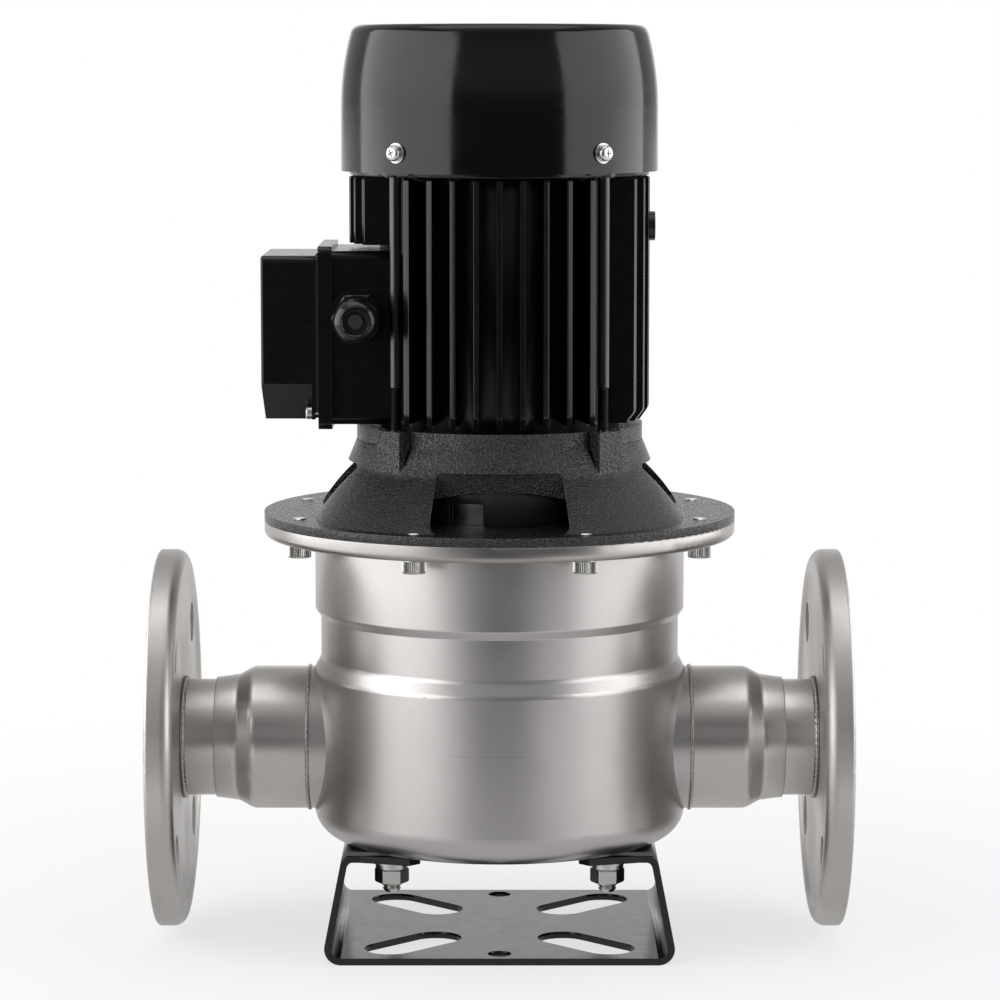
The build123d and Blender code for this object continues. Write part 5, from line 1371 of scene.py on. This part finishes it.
@dataclass
class Studio:
    """The camera, the soft lights, the pale floor and the surroundings that metal reflects."""

    camera_place: tuple[float, float, float] = (0.0002, -1.6, 0.3806)
    camera_pitch: float = 6.746
    lens: float = 132.92
    target: tuple[float, float, float] = (0.0, 0.0, 0.2)
    soft_boxes: tuple[SoftBox, ...] = (
        SoftBox("left_soft_box", -76.0, 1.15, 0.35, (2.05, 1.5), 22.5),
        SoftBox("right_soft_box", 86.0, 1.2, 0.35, (1.95, 1.5), 17.8),
        SoftBox("top_soft_box", 0.0, 0.1, 1.6, (1.6, 0.9), 4.5),
    )
    floor_size: float = 30.0
    floor_white: float = 0.7
    white_from: tuple[float, float] = (0.15, 0.6)
    floor_near: float = 0.6
    floor_far: float = 0.03
    near_to_far: tuple[float, float] = (0.15, 1.05)
    floor_behind: float = 0.9
    behind_rise: tuple[float, float] = (-0.12, 0.25)
    floor_side: float = 0.95
    side_rise: tuple[float, float] = (0.13, 0.46)
    side_start: tuple[float, float] = (0.12, 0.4)
    side_end: tuple[float, float] = (0.7, 1.7)
    dark_room: Colour = (0.07, 0.07, 0.075)

    def build(self) -> None:
        """Set the whole studio: a tall soft box on each side in front, and a broad one overhead."""
        self.place_camera()
        self.lay_floor()
        self.paint_surroundings()
        for box in self.soft_boxes:
            box.hang(Vector(self.target))
        bpy.context.scene.view_settings.view_transform = "Standard"

    def place_camera(self) -> None:
        """Stand the camera in front of the pump, a little above it."""
        data = bpy.data.cameras.new("front_camera")
        data.lens = self.lens
        data.sensor_width = 36.0
        camera = bpy.data.objects.new("front_camera", data)
        camera.location = self.camera_place
        camera.rotation_euler = (math.radians(90 - self.camera_pitch), 0, 0)
        bpy.context.scene.collection.objects.link(camera)
        bpy.context.scene.camera = camera

    def lay_floor(self) -> None:
        """Lay a pale floor that looks white to the camera and keeps the pump's shadow.

        Metal and gloss paint see it fall off towards the dark front of the studio.
        """
        Workbench.clear()
        bpy.ops.mesh.primitive_plane_add(size=self.floor_size, location=(0, 0, 0))
        floor = bpy.context.object
        floor.name = "pale_floor"
        material = bpy.data.materials.new("pale_floor")
        material.use_nodes = True
        bench = ShaderBench(material.node_tree)
        place = bench.coordinates()
        x, y, _ = bench.parts(place)
        reach = bench.add("ShaderNodeVectorMath", operation="LENGTH")
        bench.join(place, reach.inputs[0])
        reach = reach.outputs["Value"]
        near = bench.spread(reach, *self.near_to_far, self.floor_near, self.floor_far)
        behind = bench.spread(y, *self.behind_rise, 0.0, self.floor_behind)
        sideways = bench.math("DIVIDE", bench.math("ABSOLUTE", x), reach)
        beside = bench.math("MULTIPLY", bench.spread(sideways, *self.side_rise),
                            bench.spread(reach, *self.side_start, 0.5, 1.0),
                            bench.spread(reach, *self.side_end, self.floor_side, 0.0))
        pale = bench.add("ShaderNodeBsdfDiffuse", Color=(0.8, 0.8, 0.8))
        white = bench.add("ShaderNodeEmission", Color=WHITE, Strength=1.0)
        mirrored = bench.add("ShaderNodeEmission", Color=WHITE,
                             Strength=bench.math("MAXIMUM", near, behind, beside))
        seen, mirror_ray = bench.plain_sight()
        clear = bench.math("MULTIPLY", bench.spread(reach, *self.white_from, self.floor_white, 1.0), seen)
        looked_at = self.choose(bench, clear, pale, white)
        floor_shader = self.choose(bench, mirror_ray, looked_at, mirrored)
        bench.add("ShaderNodeOutputMaterial", Surface=floor_shader.outputs[0])
        floor.data.materials.append(material)

    @staticmethod
    def choose(bench: ShaderBench, mask: Socket, first: bpy.types.Node,
               second: bpy.types.Node) -> bpy.types.Node:
        """Mix two shaders.

        Args:
            bench: the material or world under construction.
            mask: the share of the second shader, from 0 to 1.
            first: a shader.
            second: a shader.

        Returns:
            The mixed shader.
        """
        choice = bench.add("ShaderNodeMixShader")
        for source, target in zip((mask, first.outputs[0], second.outputs[0]), choice.inputs):
            bench.join(source, target)
        return choice

    def paint_surroundings(self) -> None:
        """White behind the pump and for the camera, dim grey at the sides that metal reflects."""
        world = bpy.data.worlds.new("studio_surroundings")
        bpy.context.scene.world = world
        world.use_nodes = True
        bench = ShaderBench(world.node_tree)
        _, y, z = bench.parts(bench.coordinates("Generated"))
        behind = bench.spread(y, 0.88, 0.97)
        beside = bench.spread(y, 0.05, 0.45, 0.0, 0.42)
        above = bench.spread(z, 0.45, 0.95, 0.0, 0.55)
        wall = bench.math("MULTIPLY", bench.spread(z, 0.04, 0.16, 0.0, 0.2),
                          bench.spread(z, 0.35, 0.6, 1.0, 0.0))
        mask = bench.math("MAXIMUM", behind, above, beside, wall, bench.plain_sight()[0])
        colour = bench.blend(mask, self.dark_room, WHITE)
        background = bench.add("ShaderNodeBackground", Strength=1.0, Color=colour)
        bench.add("ShaderNodeOutputWorld", Surface=background.outputs[0])


def main() -> None:
    """Build and dress the pump, then set the studio."""
    logging.basicConfig(level=logging.INFO, format="%(name)s: %(message)s")
    bench = Workbench()
    CarriedNodes().dress()
    assemblies = (FootFixings(), JointScrews(), TieRods(), FanCoverScrews(), PipeWelds(), FlowArrow(),
                  CableGland())
    for assembly in assemblies:
        assembly.build(bench)
    Studio().build()
    log.info("new pieces: %s", ", ".join(bench.made))


if __name__ == "__main__":
    main()
